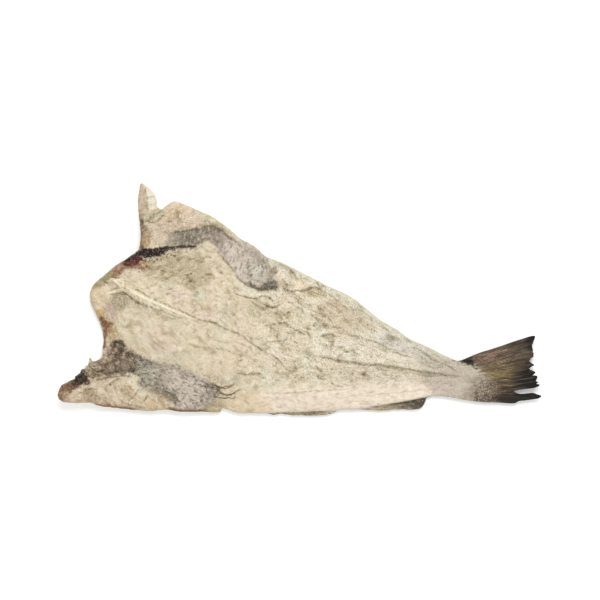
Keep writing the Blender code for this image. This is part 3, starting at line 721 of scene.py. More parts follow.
def dashes(x, y, degrees, size, seed, cover):
    """Short soft strokes that lean one way: 1 on a stroke, 0 away from it."""
    along, across = turned(x, y, degrees)
    stroke = noise(along / 3.2, across, size, seed) + 0.5 * noise(along / 2.2, across, 0.55 * size, seed + 1)
    where = smooth_step(-0.3, 0.35, noise(x, y, 4.5 * size, seed + 2) + cover)
    return smooth_step(0.18, 0.85, stroke) * where


def crossed_dashes(u, v, rising, angles, size, seeds, cover=0.0):
    """Strokes that lean up along the fibres in some places and down in others."""
    up, down = (dashes(u, v, angle, size, seed, cover) for angle, seed in zip(angles, seeds))
    return rising * up + (1 - rising) * down


def flesh_texture(x, y):
    """Fine form of the flesh in mm, and how dark and how pale it is painted: stains, dark dashes and pale
    dabs, with painted shade in its folds, pits and low places and painted highlight on its raised places.
    """
    u, v, off = grain_frame(x, y)
    broken = brokenness(x, y, off)
    slant = ellipse(x, y, *SLANTED_LOIN)
    rough = 0.30 + 0.95 * smooth_step(-0.35, 0.45, layered(x, y, 30.0, 45, 2))
    grainy = smooth_step(0.0, 0.45, layered(x, y, 24.0, 46, 2)) * broken
    rising = smooth_step(-0.15, 0.25, noise(x, y, 36.0, 50))
    su, sv = x + 4 * noise(x, y, 22.0, 48), y + 4 * noise(x, y, 22.0, 49)
    dark = crossed_dashes(u, v, rising, (26.0, -18.0), 3.2, (51, 54))
    pale = crossed_dashes(u, v, rising, (18.0, -12.0), 3.6, (57, 60), 0.1)
    broad_dark = crossed_dashes(u, v, rising, (20.0, -14.0), 6.0, (91, 94))
    broad_pale = crossed_dashes(u, v, rising, (15.0, -10.0), 6.6, (97, 40), 0.1)
    slanted_dark = dashes(su, sv, 32.0, 4.4, 63, 0.6) * slant
    slanted_pale = dashes(su, sv, 27.0, 4.0, 66, 0.6) * slant
    fibres = noise(u / 4.0, v, 3.0, 69) + 0.6 * noise(u / 3.0, v, 2.2, 70)
    folds = squiggles(u / 1.7, v, 9.0, 0.20, 55, -0.25) * broken * rough
    lumps = layered(u / 1.9, v, 11.0, 64, 4)
    ticks = ellipse(x, y, *BACKBONE_TICKS) * np.maximum(noise(x + 0.35 * y, y / 3.0, 2.6, 65), 0.0)
    pits = smooth_step(0.30, 0.70, noise(x, y, 3.0, 67)) * np.maximum(grainy, 0.3 * broken)
    grit = smooth_step(0.30, 0.70, noise(x, y, 2.8, 47)) * grainy
    loose = broken * rough * (1 - slant)
    dark = np.clip(0.65 * dark * loose + 0.75 * broad_dark * loose + 0.72 * slanted_dark, 0, 1)
    pale = np.clip(0.7 * pale * loose + 0.7 * broad_pale * loose + 0.9 * slanted_pale, 0, 1)
    hills = lumps * (0.35 + 0.65 * broken) * (0.5 + 0.5 * rough)
    relief = (0.9 * layered(x, y, 27.0, 68, 2) + 0.55 * hills + 0.15 * fibres
              - 0.48 * dark + 0.36 * pale - 0.30 * folds - 0.5 * ticks - 0.35 * pits + 0.2 * grit)
    # dark dashes, ticks and stains, with painted shade in the folds, pits and low places of the lumps and
    # fibres
    stain_and_shade = (0.75 * dark + 0.45 * folds + 0.60 * pits + 1.0 * ticks + 0.34 * np.maximum(-fibres - 0.1, 0.0)
             + 0.52 * smooth_step(0.0, 0.65, -hills))
    # pale dabs and grit, with painted highlight on the crests of the fibres and the tops of the lumps
    bloom_and_highlight = (0.60 * pale + 0.30 * np.maximum(fibres - 0.15, 0.0) + 0.45 * grit
             + 0.50 * smooth_step(0.05, 0.6, hills))
    return relief, np.clip(stain_and_shade, 0.0, 1.0), np.clip(bloom_and_highlight, 0.0, 1.0)


def lining_strokes(x, y, lower):
    """Streaks that the lining has torn into, about -1 to 1."""
    along, across = turned(x, y, -28.0 if lower else 72.0)
    fine = noise(along / 2.0, across, 2.5, 71 + lower)
    return fine + 0.7 * noise(along / 1.6, across, 5.0, 73 + lower)


def lining_bubbles(x, y):
    """Round lumps of the brown lining under the lower nape, about -1 to 1."""
    return layered(x, y, 9.0, 75, 2) * smooth_step(-222, -244, x) * (y < -50)


def lining_bowls(x, y):
    """Round hollows of the lower lining, and their lower lips, which are painted dark as painted shade."""
    hollow, lip = np.zeros(x.shape), np.zeros(x.shape)
    for (cx, cy), (rx, ry) in LINING_BOWLS:
        distance = np.hypot((x - cx) / rx, (y - cy) / ry) + 0.10 * noise(x, y, 5.0, 76)
        hollow = np.maximum(hollow, smooth_step(1.08, 0.60, distance))
        lip = np.maximum(lip, bell(distance - 1.0, 0.20) * smooth_step(0.35, -0.5, (y - cy) / ry))
    return hollow, lip


def lining_texture(x, y):
    """Fine form of the lining in mm."""
    hollow, lip = lining_bowls(x, y)
    strokes = np.where(y > -20, lining_strokes(x, y, 0), lining_strokes(x, y, 1))
    lumps = 0.6 * layered(x, y, 14.0, 72, 3) - 0.30 * strokes + 1.5 * lining_bubbles(x, y)
    return lumps * (1.0 - 0.75 * hollow) - 1.6 * hollow + 0.6 * lip


def crease_texture(x, y):
    """Depth of the creases, the raised lip above them, and how dark they are painted: their brown, with
    painted shade in them and in a soft band beside them.
    """
    deep, lips, brown_and_shade = np.zeros(x.shape), np.zeros(x.shape), np.zeros(x.shape)
    wobble_x = 1.1 * noise(x, y, 6.5, 77) + 0.5 * noise(x, y, 2.6, 78)
    wobble_y = 1.1 * noise(x, y, 6.5, 79) + 0.5 * noise(x, y, 2.6, 80)
    patchy = np.clip(0.72 + 0.75 * noise(x, y, 5.0, 81) + 0.5 * noise(x, y, 2.4, 83), 0.0, 1.2)
    for i, (depth, radius, dark, points) in enumerate(CREASES):
        close = near(points, x, y, 4.0 * radius + 4.0)
        cx, cy = x[close] + wobble_x[close], y[close] + wobble_y[close]
        distance, side, along = follow(spline(points, PATCH_STEP), cx, cy)
        swelling = 1.0 + 0.5 * noise(along * 9.0, np.full(along.shape, 0.37 * i), 1.0, 82)
        ends = smooth_step(-0.02, 0.15, along) * smooth_step(1.02, 0.85, along)
        line = bell(distance, 0.82 * radius * swelling * (0.55 + 0.45 * ends)) * (0.3 + 0.7 * ends)
        lip = bell(distance - 2.2 * radius, 1.3 * radius) * (side > 0) * ends
        deep[close] = np.maximum(deep[close], CREASE_DEPTH * depth * line * (0.4 + 0.6 * patchy[close]))
        lips[close] = np.maximum(lips[close], LIP_SHARE * depth * lip)
        # painted shade: dark along the crease, and fainter in a soft band beside it
        soft = bell(distance, 2.2 * radius * swelling) * (0.3 + 0.7 * ends)
        mark = dark * (0.78 * line * patchy[close] + 0.20 * soft)
        brown_and_shade[close] = np.maximum(brown_and_shade[close], mark)
    return deep, lips, np.clip(brown_and_shade, 0.0, 1.0)


# ---- colours ----
CREAM = (216, 201, 173)
PALE = (230, 219, 197)
TAN = (196, 179, 148)
PINK = (217, 195, 176)
GREENISH = (203, 197, 173)
FROST = (226, 219, 204)
STAIN_AND_SHADE = (0.58, 0.54, 0.45)      # what full stain and full painted shade leave of red, green and blue
BLOOM_AND_HIGHLIGHT = (0.42, 0.40, 0.35)      # how far full bloom and full painted highlight lift them towards white
CREASE_BROWN_AND_SHADE = (112, 96, 64)
SEAM_BLACK = (20, 14, 14)
LINING_DARK = (74, 66, 58)
LINING_PALE = (222, 214, 202)
LINING_FLECK = (128, 114, 94)
OUTLINE_TAN = (176, 164, 128)
BUBBLE_HIGHLIGHT = (172, 148, 122)
BUBBLE_SHADE = (74, 56, 42)
BOWL_TAN = (134, 117, 99)
BOWL_LIP_SHADE = (56, 44, 34)
GRIT_BLACK = (52, 46, 40)
SALT_WHITE = (236, 230, 216)
CRUST_BROWN = (112, 90, 78)
RUST = (106, 74, 50)
BLOOD = (92, 54, 40)
SCAR_CREAM = (244, 233, 202)


def blend(colours, other, amount):
    """The colours, covered by another (one, or one for each point) by an amount from 0 to 1."""
    return colours + (np.array(other, float) - colours) * np.asarray(amount)[:, None]


def paint(colours, *coats):
    """Coats of colour, each laid over the ones before it: a colour, and how much it covers."""
    for colour, amount in coats:
        colours = blend(colours, colour, amount)
    return colours


def mottled(colour, second, x, share):
    """One colour, with a second over a share of it."""
    return blend(plain(colour, x), second, share)


def tones(stations, x):
    """A colour for each point, from the colours listed for places along X or along an angle."""
    places = [place for place, colour in stations]
    channels = zip(*[colour for place, colour in stations])
    return np.column_stack([np.interp(x, places, channel) for channel in channels])


def shade(colours, amount):
    """Darker and a little more olive where the amount is 1."""
    return colours * (1.0 - np.asarray(amount)[:, None] * (1.0 - np.array(STAIN_AND_SHADE)))


def lighten(colours, amount):
    """Paler where the amount is 1."""
    return colours + (255.0 - colours) * (np.asarray(amount)[:, None] * np.array(BLOOM_AND_HIGHLIGHT))


def plain(colour, x):
    """The same colour for every point."""
    return np.tile(np.array(colour, float), (len(x), 1))


def flesh_base(x, y):
    """Uneven cream of the dried flesh, before creases and stains."""
    u, v = grain_frame(x, y)[:2]
    colours = paint(plain(CREAM, x),
                    (PINK, 0.85 * smooth_step(0.0, 0.5, layered(x, y, 46.0, 85, 4))),
                    (GREENISH, 0.85 * smooth_step(0.0, 0.5, layered(x, y, 33.0, 86, 4))),
                    (TAN, 0.7 * smooth_step(0.05, 0.6, layered(x, y, 17.0, 87, 3))),
                    (PALE, 0.75 * smooth_step(0.1, 0.6, layered(x, y, 15.0, 88, 3))),
                    (TAN, 0.5 * smooth_step(0.1, 0.6, layered(u / 2.5, v, 6.0, 89, 2))),
                    (PALE, 0.5 * smooth_step(0.1, 0.6, layered(u / 2.5, v, 4.5, 90, 2))))
    colours = lighten(colours, 0.31 * smooth_step(-110, -20, x) * smooth_step(215, 165, x))
    return blend(colours, FROST, 0.55 * smooth_step(10, 150, x + 12 * layered(x, y, 40.0, 92, 2)))


def upper_colour(x, y):
    """Colour of the flesh with its coloured places."""
    colours = flesh_base(x, y)
    for i, (colour, second, size, strength, softness, ragged, points) in enumerate(PATCHES):
        mask = strength * patch_mask(points, x, y, softness, ragged, 101 + i)
        local = mottled(colour, second, x, smooth_step(-0.35, 0.45, layered(x, y, size, 151 + i, 3)))
        colours = blend(colours, local, mask)
    for (cx, cy), radius in BLOOD_SPOTS:
        colours = blend(colours, BLOOD, 0.9 * bell(np.hypot(x - cx, y - cy), radius))
    return colours


def backbone_cream(x, y):
    """The pale raised scar of the backbone."""
    distance, side, along = trace(BACKBONE, x, y)
    width = 3.1 - 1.9 * smooth_step(0.05, 0.5, along) + 0.5 * noise(x, y, 9.0, 332)
    return bell(distance, width) * smooth_step(0.03, 0.09, along) * smooth_step(0.62, 0.46, along)


def band_colour(x, y, lower):
    """Colour of the upper band of lining, or of the lower one."""
    seed = 201 + 10 * lower
    local = tones(LOWER_BAND_TONES if lower else UPPER_BAND_TONES, x)
    for i, (colour, strength, softness, points) in enumerate(LINING_PATCHES[lower]):
        local = blend(local, colour, strength * patch_mask(points, x, y, softness, 4.0, seed + 20 + i))
    strokes = lining_strokes(x, y, lower)
    brown = smooth_step(-228, -246, x) * lower
    calm = 1.0 - 0.5 * brown - 0.45 * smooth_step(-135, -115, x) * (1 - lower)
    local = paint(local,
                  (LINING_PALE, 0.40 * smooth_step(0.1, 0.7, layered(x, y, 16.0, seed, 3))),
                  (LINING_DARK, 0.40 * smooth_step(0.1, 0.7, layered(x, y, 13.0, seed + 1, 3))),
                  (LINING_DARK, 0.62 * calm * smooth_step(0.1, 0.95, strokes)))
    local = local * (1.0 - brown[:, None] * (0.0, 0.03, 0.09))
    bubbles = lining_bubbles(x, y) * lower
    hollow, lip = lining_bowls(x, y)
    clusters = smooth_step(0.0, 0.7, layered(x, y, 11.0, seed + 6, 2) + 1.2 * pepper(x, y, lower) - 0.6)
    clusters = clusters * (1.0 - hollow)
    grit = smooth_step(0.15, 0.60, noise(x, y, 2.7, seed + 4))
    dots = smooth_step(0.40, 0.75, noise(x, y, 2.9, seed + 5))
    return paint(local,
                 (LINING_PALE, 0.50 * calm * smooth_step(0.15, 0.95, -strokes)),
                 # painted highlight on the lumps of the brown lining, and painted shade between them
                 (BUBBLE_HIGHLIGHT, 0.50 * smooth_step(0.05, 0.6, bubbles)),
                 (BUBBLE_SHADE, 0.66 * smooth_step(0.05, 0.6, -bubbles)),
                 (BOWL_TAN, 0.78 * hollow),
                 # painted shade on the lower lips of the hollows
                 (BOWL_LIP_SHADE, 0.80 * lip),
                 (GRIT_BLACK, 0.72 * clusters * grit),
                 (SALT_WHITE, 0.55 * dots * (0.4 + 0.6 * clusters)))


def lining_colour(colours, x, y, masks, flecks):
    """The colours with the two bands of lining and the flecks around them laid over them."""
    colours = blend(colours, LINING_FLECK, 0.55 * flecks)
    for lower, mask in enumerate(masks):
        colours = blend(colours, band_colour(x, y, lower), mask)
    return colours


# ---- tail fin and anal fins ----
FAN_CENTRE = (71.0, -141.0)
FAN_ANGLES = (-4.5, 19.5)
FAN_RAYS = 42
FAN_ARC = 4.2              # mm of arc for each degree, in the middle of the fin
FAN_REACHES = (176.0, 290.0, 1.9)    # first and last row of vertices across the rays, and their spacing
FIN_START = 240.0
# Reach from the fan's centre, by angle, at which the flesh gives way to the bare fin.
FLESH_END_ANGLES = (-4.5, -2, 0, 3, 8, 11, 14, 16.7, 19.5)
FLESH_END_REACH = (176, 180, 188, 201, 202, 195, 186, 174, 166)
FIN_TONES = [(-4, (54, 42, 35)), (0, (68, 53, 43)), (3, (80, 65, 49)), (6, (98, 82, 57)),
             (9, (110, 94, 63)), (12, (104, 89, 66)), (14, (106, 90, 75)), (17, (103, 87, 76)),
             (19, (76, 66, 58))]
FIN_GOLD = (142, 122, 84)
FIN_UMBER = (66, 54, 43)
FIN_PINK = (142, 112, 96)
RAY_PALE = (156, 136, 104)
RAY_DARK = (42, 33, 26)
MIDDLE_DARK = (58, 48, 37)
RAY_GOLD = (156, 136, 96)
RAY_CREAM = (158, 146, 126)
OUTER_DARK = (56, 46, 36)
FRAY_BLACK = (22, 20, 18)
FRAY_PALE = (98, 88, 70)
LOWEST_RAY = (40, 35, 31)
UPPER_EDGE = (30, 28, 25)
ROOT_BLACK = (24, 23, 17)
ROOT_OLIVE = (66, 66, 46)
# Dark patch where the fin begins, and the scaled skin below it.
FIN_ROOT = [(229, -88), (238, -83), (247, -80), (249, -87), (251, -94), (255, -101), (247, -97), (238, -92)]
SPECKLED_SKIN = [(256, -116), (264, -112), (275, -114), (284, -120), (286, -131), (280, -143), (266, -151),
                 (246, -148), (241, -139), (249, -127)]
SPECKLED_BROWN = (116, 101, 84)
SPECKLED_DARK = (80, 66, 54)
ANAL_TONES = [(-54, (178, 166, 142)), (-20, (150, 140, 118)), (0, (168, 156, 128)), (20, (150, 138, 112)),
              (36, (196, 184, 160)), (50, (204, 192, 168)), (95, (190, 176, 148)), (118, (178, 162, 130)),
              (140, (144, 130, 106)), (158, (108, 98, 82)), (185, (66, 60, 52))]
ANAL_DARK = (60, 53, 46)
ANAL_PALE = (216, 206, 184)


def fan(x, y):
    """Angle (degrees) and distance from the point that the tail's rays spread from."""
    return (np.degrees(np.arctan2(y - FAN_CENTRE[1], x - FAN_CENTRE[0])),
            np.hypot(x - FAN_CENTRE[0], y - FAN_CENTRE[1]))


def fin_mask(x, y):
    """1 on the bare tail fin, 0 on the flesh, which ends in short fingers along the rays."""
    angle, reach = fan(x, y)
    ends = np.interp(angle, FLESH_END_ANGLES, FLESH_END_REACH)
    fingers = 8.0 * noise(reach / 6.0, angle * FAN_ARC, 4.0, 221) + 6.0 * noise(x, y, 3.0, 222)
    return smooth_step(-9.0, 9.0, reach - ends + fingers) * (x > 200)


def ray_share(x, y):
    """Position across the rays, in rays, and distance along them."""
    angle, reach = fan(x, y)
    angle = angle + 0.10 * noise(reach, angle * 9.0, 30.0, 223)
    return (angle - FAN_ANGLES[0]) / (FAN_ANGLES[1] - FAN_ANGLES[0]) * FAN_RAYS, reach


def ray_wave(x, y):
    """1 on the crest of each ray, -1 in the web between; each ray divides towards its end."""
    share, reach = ray_share(x, y)
    wave = np.cos(2 * np.pi * share)
    return wave + (np.cos(4 * np.pi * share) - wave) * 0.7 * smooth_step(225, 255, reach)


def fin_colour(colours, x, y):
    """The colours with the bare tail fin laid over them, and how far it covers them."""
    root = patch_mask(FIN_ROOT, x, y, 1.8, 3, 228)
    mask = np.maximum(fin_mask(x, y), root)
    angle = fan(x, y)[0]
    share, reach = ray_share(x, y)
    patches = layered(reach / 3.5, angle * FAN_ARC, 13.0, 226, 3)
    streaks = noise(share, reach / 30.0, 2.0, 224) + 0.9 * noise(share, reach / 18.0, 1.1, 225)
    streaks = streaks * (1.0 - 0.40 * smooth_step(6.0, 10.0, angle))
    local = paint(tones(FIN_TONES, angle),
                  (FIN_GOLD, 0.40 * smooth_step(0.05, 0.6, patches)),
                  (FIN_UMBER, 0.40 * smooth_step(0.1, 0.6, -patches)),
                  (FIN_PINK, 0.55 * bell(np.hypot((x - 272) / 1.7, y + 82), 11)),
                  (RAY_PALE, 0.70 * smooth_step(0.05, 0.75, streaks)),
                  (RAY_DARK, 0.78 * smooth_step(0.05, 0.80, -streaks)))
    local = local * (1.0 + 0.26 * ray_wave(x, y))[:, None]
    golden = bell((angle - 9.0) / 2.6, 1) * smooth_step(250, 200, reach)
    pale_rays = bell((angle - 12.5) / 1.6, 1) * smooth_step(210, 190, reach)
    out = np.hypot(x - TAIL_ROOT[0], y - TAIL_ROOT[1])
    edge = out + 9.0 * layered(share, reach / 18.0, 1.8, 227, 2) + 10.0 * noise(share, reach / 45.0, 1.4, 229)
    start = 97.0 + 23.0 * smooth_step(7.0, 12.0, angle)
    frayed = smooth_step(0.0, 0.5, noise(share, reach / 26.0, 1.1, 230)) * smooth_step(141, 126, out)
    local = paint(local,
                  (MIDDLE_DARK, 0.38 * bell((angle - 7.0) / 3.5, 1) * smooth_step(232, 250, reach)),
                  (RAY_GOLD, 0.55 * golden),
                  (RAY_CREAM, 0.7 * pale_rays),
                  (OUTER_DARK, 0.45 * smooth_step(92, 122, out)),
                  (FRAY_BLACK, 0.97 * smooth_step(0.0, 24.0, edge - start)),
                  (FRAY_PALE, 0.62 * frayed * smooth_step(92, 108, out)),
                  (LOWEST_RAY, 0.85 * smooth_step(1.0, -0.6, angle) * smooth_step(255, 305, x)),
                  (UPPER_EDGE, 0.90 * bell(19.3 - angle, 0.8)),
                  (mottled(ROOT_BLACK, ROOT_OLIVE, x, smooth_step(0.0, 0.6, noise(x, y, 4.0, 234))),
                   0.97 * root))
    return blend(colours, local, mask), mask


def speckled_skin(colours, x, y):
    """Scaled skin that shows where the flesh thins out onto the tail fin, and how far it covers."""
    mask = 0.82 * patch_mask(SPECKLED_SKIN, x, y, 9, 7, 231)
    share = smooth_step(-0.1, 0.5, layered(x, y, 7.0, 232, 2))
    return blend(colours, mottled(SPECKLED_BROWN, SPECKLED_DARK, x, share), mask), mask


def anal_colour(colours, x, y):
    """The colours with the two anal fins laid over them."""
    streak = layered(x / 7.0, y + 0.12 * x, 1.7, 241, 2)
    local = paint(tones(ANAL_TONES, x),
                  (ANAL_DARK, 0.7 * smooth_step(0.0, 0.5, streak)),
                  (ANAL_PALE, 0.5 * smooth_step(0.15, 0.6, -streak)))
    return blend(colours, local, anal_fin(x, y) ** 3)


# ---- skin side ----
SKIN_BACK = (134, 124, 98)
SKIN_FLANK = (166, 156, 128)
SKIN_BELLY = (212, 204, 184)
SKIN_EDGE = (112, 100, 76)
SKIN_SPOT = (92, 80, 54)
SKIN_CLOUD = (206, 198, 172)
LATERAL_LINE = (224, 216, 194)
LATERAL_OFFSET, LATERAL_WIDTH = 50.0, 1.8    # place of the lateral line beside the back
FOLDED_WEB = (82, 72, 53)
FOLDED_RAY = (142, 128, 98)
FOLDED_TIP = (56, 48, 36)
FOLDED_FOOT = (74, 64, 47)
EDGE_SKIN_SHADE = 0.72     # of the skin's colour, where it shows in the cut edge
SKIN_RELIEF = 0.9          # mm that the skin lies above the plane that the folded fins rest on
# Dorsal fins, folded flat against the skin: where each starts and ends along the back, its height,
# how far it leans towards the tail, and the spacing of its rays, all in mm.
DORSAL_FINS = [(30, 96, 34, 1.2, 6.0), (122, 238, 27, 1.5, 6.0), (264, 372, 21, 1.5, 5.6)]


def dorsal_fins(x, y):
    """1 on the folded dorsal fins, a wave that crests on their rays, and the share out to the tips."""
    keel = spline(KEEL, ROW_STEP)
    distance, side, along = follow(keel, x, y)
    length = np.hypot(*np.diff(keel, axis=0).T).sum()
    away = -distance * side
    cover, wave, outward = np.zeros(x.shape), np.zeros(x.shape), np.zeros(x.shape)
    for start, end, tall, lean, spacing in DORSAL_FINS:
        bend = lean * away * (1.0 + 0.012 * away) + 2.0 * noise(x, y, 24.0, 261) + 0.8 * noise(x, y, 7.0, 263)
        ray = along * length - bend
        share = (ray - start) / (end - start)
        reach = tall * (1.0 - 0.62 * np.clip(share, 0, 1) ** 0.8) * smooth_step(-0.06, 0.10, share)
        reach = reach + 3.0 * noise(ray / spacing, np.zeros(x.shape), 0.9, 262) + 1.2 * noise(x, y, 4.0, 264)
        inside_fin = smooth_step(0.0, 0.02, share) * smooth_step(1.0, 0.96, share)
        inside_fin = inside_fin * smooth_step(-1.5, 1.5, away) * smooth_step(0.0, 2.5, reach - away)
        cover = np.maximum(cover, inside_fin)
        wave = wave + inside_fin * np.cos(2 * np.pi * ray / spacing)
        outward = np.maximum(outward, inside_fin * np.clip(away / np.maximum(reach, 1.0), 0, 1))
    return cover, wave, outward


def skin_colour(x, y, inset):
    """Colour of the skin side: dark back, pale belly, lateral line and the folded dorsal fins."""
    distance = trace(KEEL, x, y)[0]
    back = distance + 10 * layered(x, y, 45.0, 251, 3)
    spots = smooth_step(0.05, 0.40, layered(x, y, 13.0, 252, 3)) * smooth_step(110, 70, back)
    wander = 4 * noise(x, y, 60.0, 254)
    lateral = bell(np.abs(distance - LATERAL_OFFSET + wander), LATERAL_WIDTH) * smooth_step(250, 200, x)
    worn_line = 0.35 + 0.4 * smooth_step(-0.3, 0.3, noise(x, y, 16.0, 258))
    cover, wave, outward = dorsal_fins(x, y)
    fin = paint(plain(FOLDED_WEB, x),
                (FOLDED_RAY, 0.85 * smooth_step(-0.2, 0.9, wave)),
                (FOLDED_TIP, 0.7 * smooth_step(0.35, 1.0, outward + 0.25 * layered(x, y, 9.0, 255, 2))),
                (FOLDED_FOOT, 0.6 * smooth_step(0.12, 0.0, outward)))
    return paint(plain(SKIN_BACK, x),
                 (SKIN_FLANK, smooth_step(18, 62, back)),
                 (SKIN_BELLY, smooth_step(55, 105, back)),
                 (SKIN_SPOT, 0.55 * spots),
                 (SKIN_CLOUD, 0.5 * smooth_step(0.10, 0.55, layered(x, y, 16.0, 253, 3))),
                 (LATERAL_LINE, worn_line * lateral),
                 (fin, 0.92 * cover),
                 (SKIN_EDGE, 0.75 * smooth_step(3.5, 0.0, inset)))


def skin_relief(x, y, inset):
    """Height in mm of the wrinkled skin above the plane of the folded fins."""
    cover, wave = dorsal_fins(x, y)[:2]
    wrinkles = 0.35 * layered(x / 2.0, y, 9.0, 256, 3) + 0.5 * squiggles(x / 2.2, y, 12.0, 0.14, 257, 0.0)
    skin = SKIN_RELIEF + wrinkles * smooth_step(0.0, 8.0, inset)
    return np.maximum(skin * (1.0 - cover) + cover * (0.25 - 0.25 * wave), 0.0) * smooth_step(0.0, 3.0, inset)


# ---- mesh ----
def offset_row(path, distance):
    """The path, moved inwards by a distance."""
    run = np.roll(path, -1, axis=0) - np.roll(path, 1, axis=0)
    run = run / np.maximum(np.hypot(run[:, 0], run[:, 1]), 1e-9)[:, None]
    return path + distance * np.column_stack([run[:, 1], -run[:, 0]])


def hex_grid(outline, step, seed):
    """Points about one step apart, in jittered rows over the box around the outline."""
    low, high = outline.min(axis=0), outline.max(axis=0)
    rows = np.arange(low[1], high[1], step * np.sqrt(0.75))
    columns = np.arange(low[0], high[0], step)
    x, y = np.meshgrid(columns, rows)
    x = x + (np.arange(len(rows)) % 2)[:, None] * step / 2
    jitter = np.random.default_rng(seed).uniform(-JITTER, JITTER, (2,) + x.shape) * step
    return np.column_stack([(x + jitter[0]).ravel(), (y + jitter[1]).ravel()])


def fan_points():
    """Rows along the crest, the sides and the foot of every ray of the tail fin."""
    angles = np.radians(np.linspace(FAN_ANGLES[0], FAN_ANGLES[1], 4 * FAN_RAYS + 1))
    reaches = np.arange(*FAN_REACHES)
    angle, reach = np.meshgrid(angles, reaches)
    return np.column_stack([(FAN_CENTRE[0] + reach * np.cos(angle)).ravel(),
                            (FAN_CENTRE[1] + reach * np.sin(angle)).ravel()])


def gaps_to(outline, points):
    """Distance of each point from the outline."""
    return follow(outline, *points.T, closed=True)[0]


def clear_of_edge(outline, points, clearance):
    """The points that lie inside the outline, and further from it than the clearance."""
    points = points[inside(outline, *points.T)]
    gap = gaps_to(outline, points)
    return points[gap > clearance]


def spaced_rows(outline):
    """Rows of points along the outline, at the insets in EDGE_ROWS."""
    rows = []
    for i, inset in enumerate(EDGE_ROWS):
        row = offset_row(outline, inset)[i % 2::1 + (i > 1)]
        rows.append(clear_of_edge(outline, row, 0.93 * inset))
    return np.vstack(rows)


def fill(outline, points):
    """Triangles over the outline and the points inside it."""
    everything = np.vstack([outline, points])
    rim = list(range(len(outline)))
    result = delaunay_2d_cdt([tuple(p) for p in everything], [], [rim], 1, 1e-6)
    return np.array([tuple(v) for v in result[0]]), np.array(result[2])


def linear(colours):
    """Colours from 0 to 255, as linear light from 0 to 1."""
    share = np.clip(np.asarray(colours, float) / 255.0, 0.0, 1.0)
    return np.where(share <= 0.04045, share / 12.92, ((share + 0.055) / 1.055) ** 2.4)


def mesh_object(name, points, faces, colours=None, values=None):
    """A smooth mesh from places in mm, with its colours and other values of its vertices."""
    mesh = bpy.data.meshes.new(name)
    mesh.from_pydata((np.asarray(points) * MM).tolist(), [], np.asarray(faces).tolist())
    if colours is not None:
        layer = mesh.color_attributes.new("tint", "FLOAT_COLOR", "POINT")
        rgba = np.column_stack([linear(colours), np.ones(len(colours))])
        layer.data.foreach_set("color", rgba.astype(np.float32).ravel())
    for key, array in (values or {}).items():
        kind = "FLOAT" if array.ndim == 1 else "FLOAT_VECTOR"
        layer = mesh.attributes.new(key, kind, "POINT")
        field = "value" if array.ndim == 1 else "vector"
        layer.data.foreach_set(field, array.astype(np.float32).ravel())
    mesh.shade_smooth()
    mesh.update()
    obj = bpy.data.objects.new(name, mesh)
    bpy.context.scene.collection.objects.link(obj)
    return obj


def edge_profile(x, y, inset):
    """Height of the skin side, thickness, and how far the rounded edge has swollen to it, 0 to 1."""
    skin = skin_height(x, y, inset)
    solid = thickness(x, y, inset) * (1.0 - FIN_THINNING * smooth_step(258, 320, x))
    rounding = np.clip(solid * EDGE_ROUNDING, LEAST_ROUNDING, MOST_ROUNDING)
    swell = np.sqrt(1.0 - (1.0 - np.clip(inset / rounding, 0.0, 1.0)) ** 2)
    return skin, solid, swell


def neighbour_mean(values, faces, rounds):
    """Values evened out over the mesh, a little further with each round."""
    a = np.concatenate([faces[:, 0], faces[:, 1], faces[:, 2]])
    b = np.concatenate([faces[:, 1], faces[:, 2], faces[:, 0]])
    count = np.bincount(a, minlength=len(values)) + np.bincount(b, minlength=len(values))
    for _ in range(rounds):
        total = np.bincount(a, values[b], len(values)) + np.bincount(b, values[a], len(values))
        values = 0.5 * values + 0.5 * total / count
    return values


def marks(colours, x, y, inset, dark, bare):
    """The colours with pepper, black seam, brown creases with their painted shade, a darker tan band along
    the outline and rusty edge laid over them.
    """
    holes = smooth_step(0.30, 0.75, layered(x, y, 4.2, 302, 2)) * smooth_step(-240, -215, x)
    seam = 0.96 * patch_mask(SEAM, x, y, 1.2, 1.8, 301) * (1.0 - 0.5 * holes)
    crust = mottled(SEAM_BLACK, CRUST_BROWN, x, smooth_step(-0.1, 0.7, noise(x, y, 2.7, 306)))
    brown = mottled(CREASE_BROWN_AND_SHADE, SEAM_BLACK, x, smooth_step(0.6, 0.95, dark))
    grains = patch_mask(SEAM_PEPPER, x, y, 3.0, 3.0, 303) * smooth_step(0.0, 0.45, noise(x, y, 2.8, 304))
    rusty = np.interp(x, RUST_EDGE_X, RUST_EDGE) * (y < -140)
    return paint(colours,
                 (LINING_DARK, 0.8 * grains),
                 # brown of the creases, with painted shade in and beside them
                 (crust, seam),
                 (brown, dark * bare),
                 # darker tan band along the outline
                 (OUTLINE_TAN, 0.30 * smooth_step(2.4, 0.2, inset) * bare),
                 (RUST, 0.9 * (rusty * smooth_step(4.8, 1.2, inset + 1.6 * noise(x, y, 5.0, 305)))))


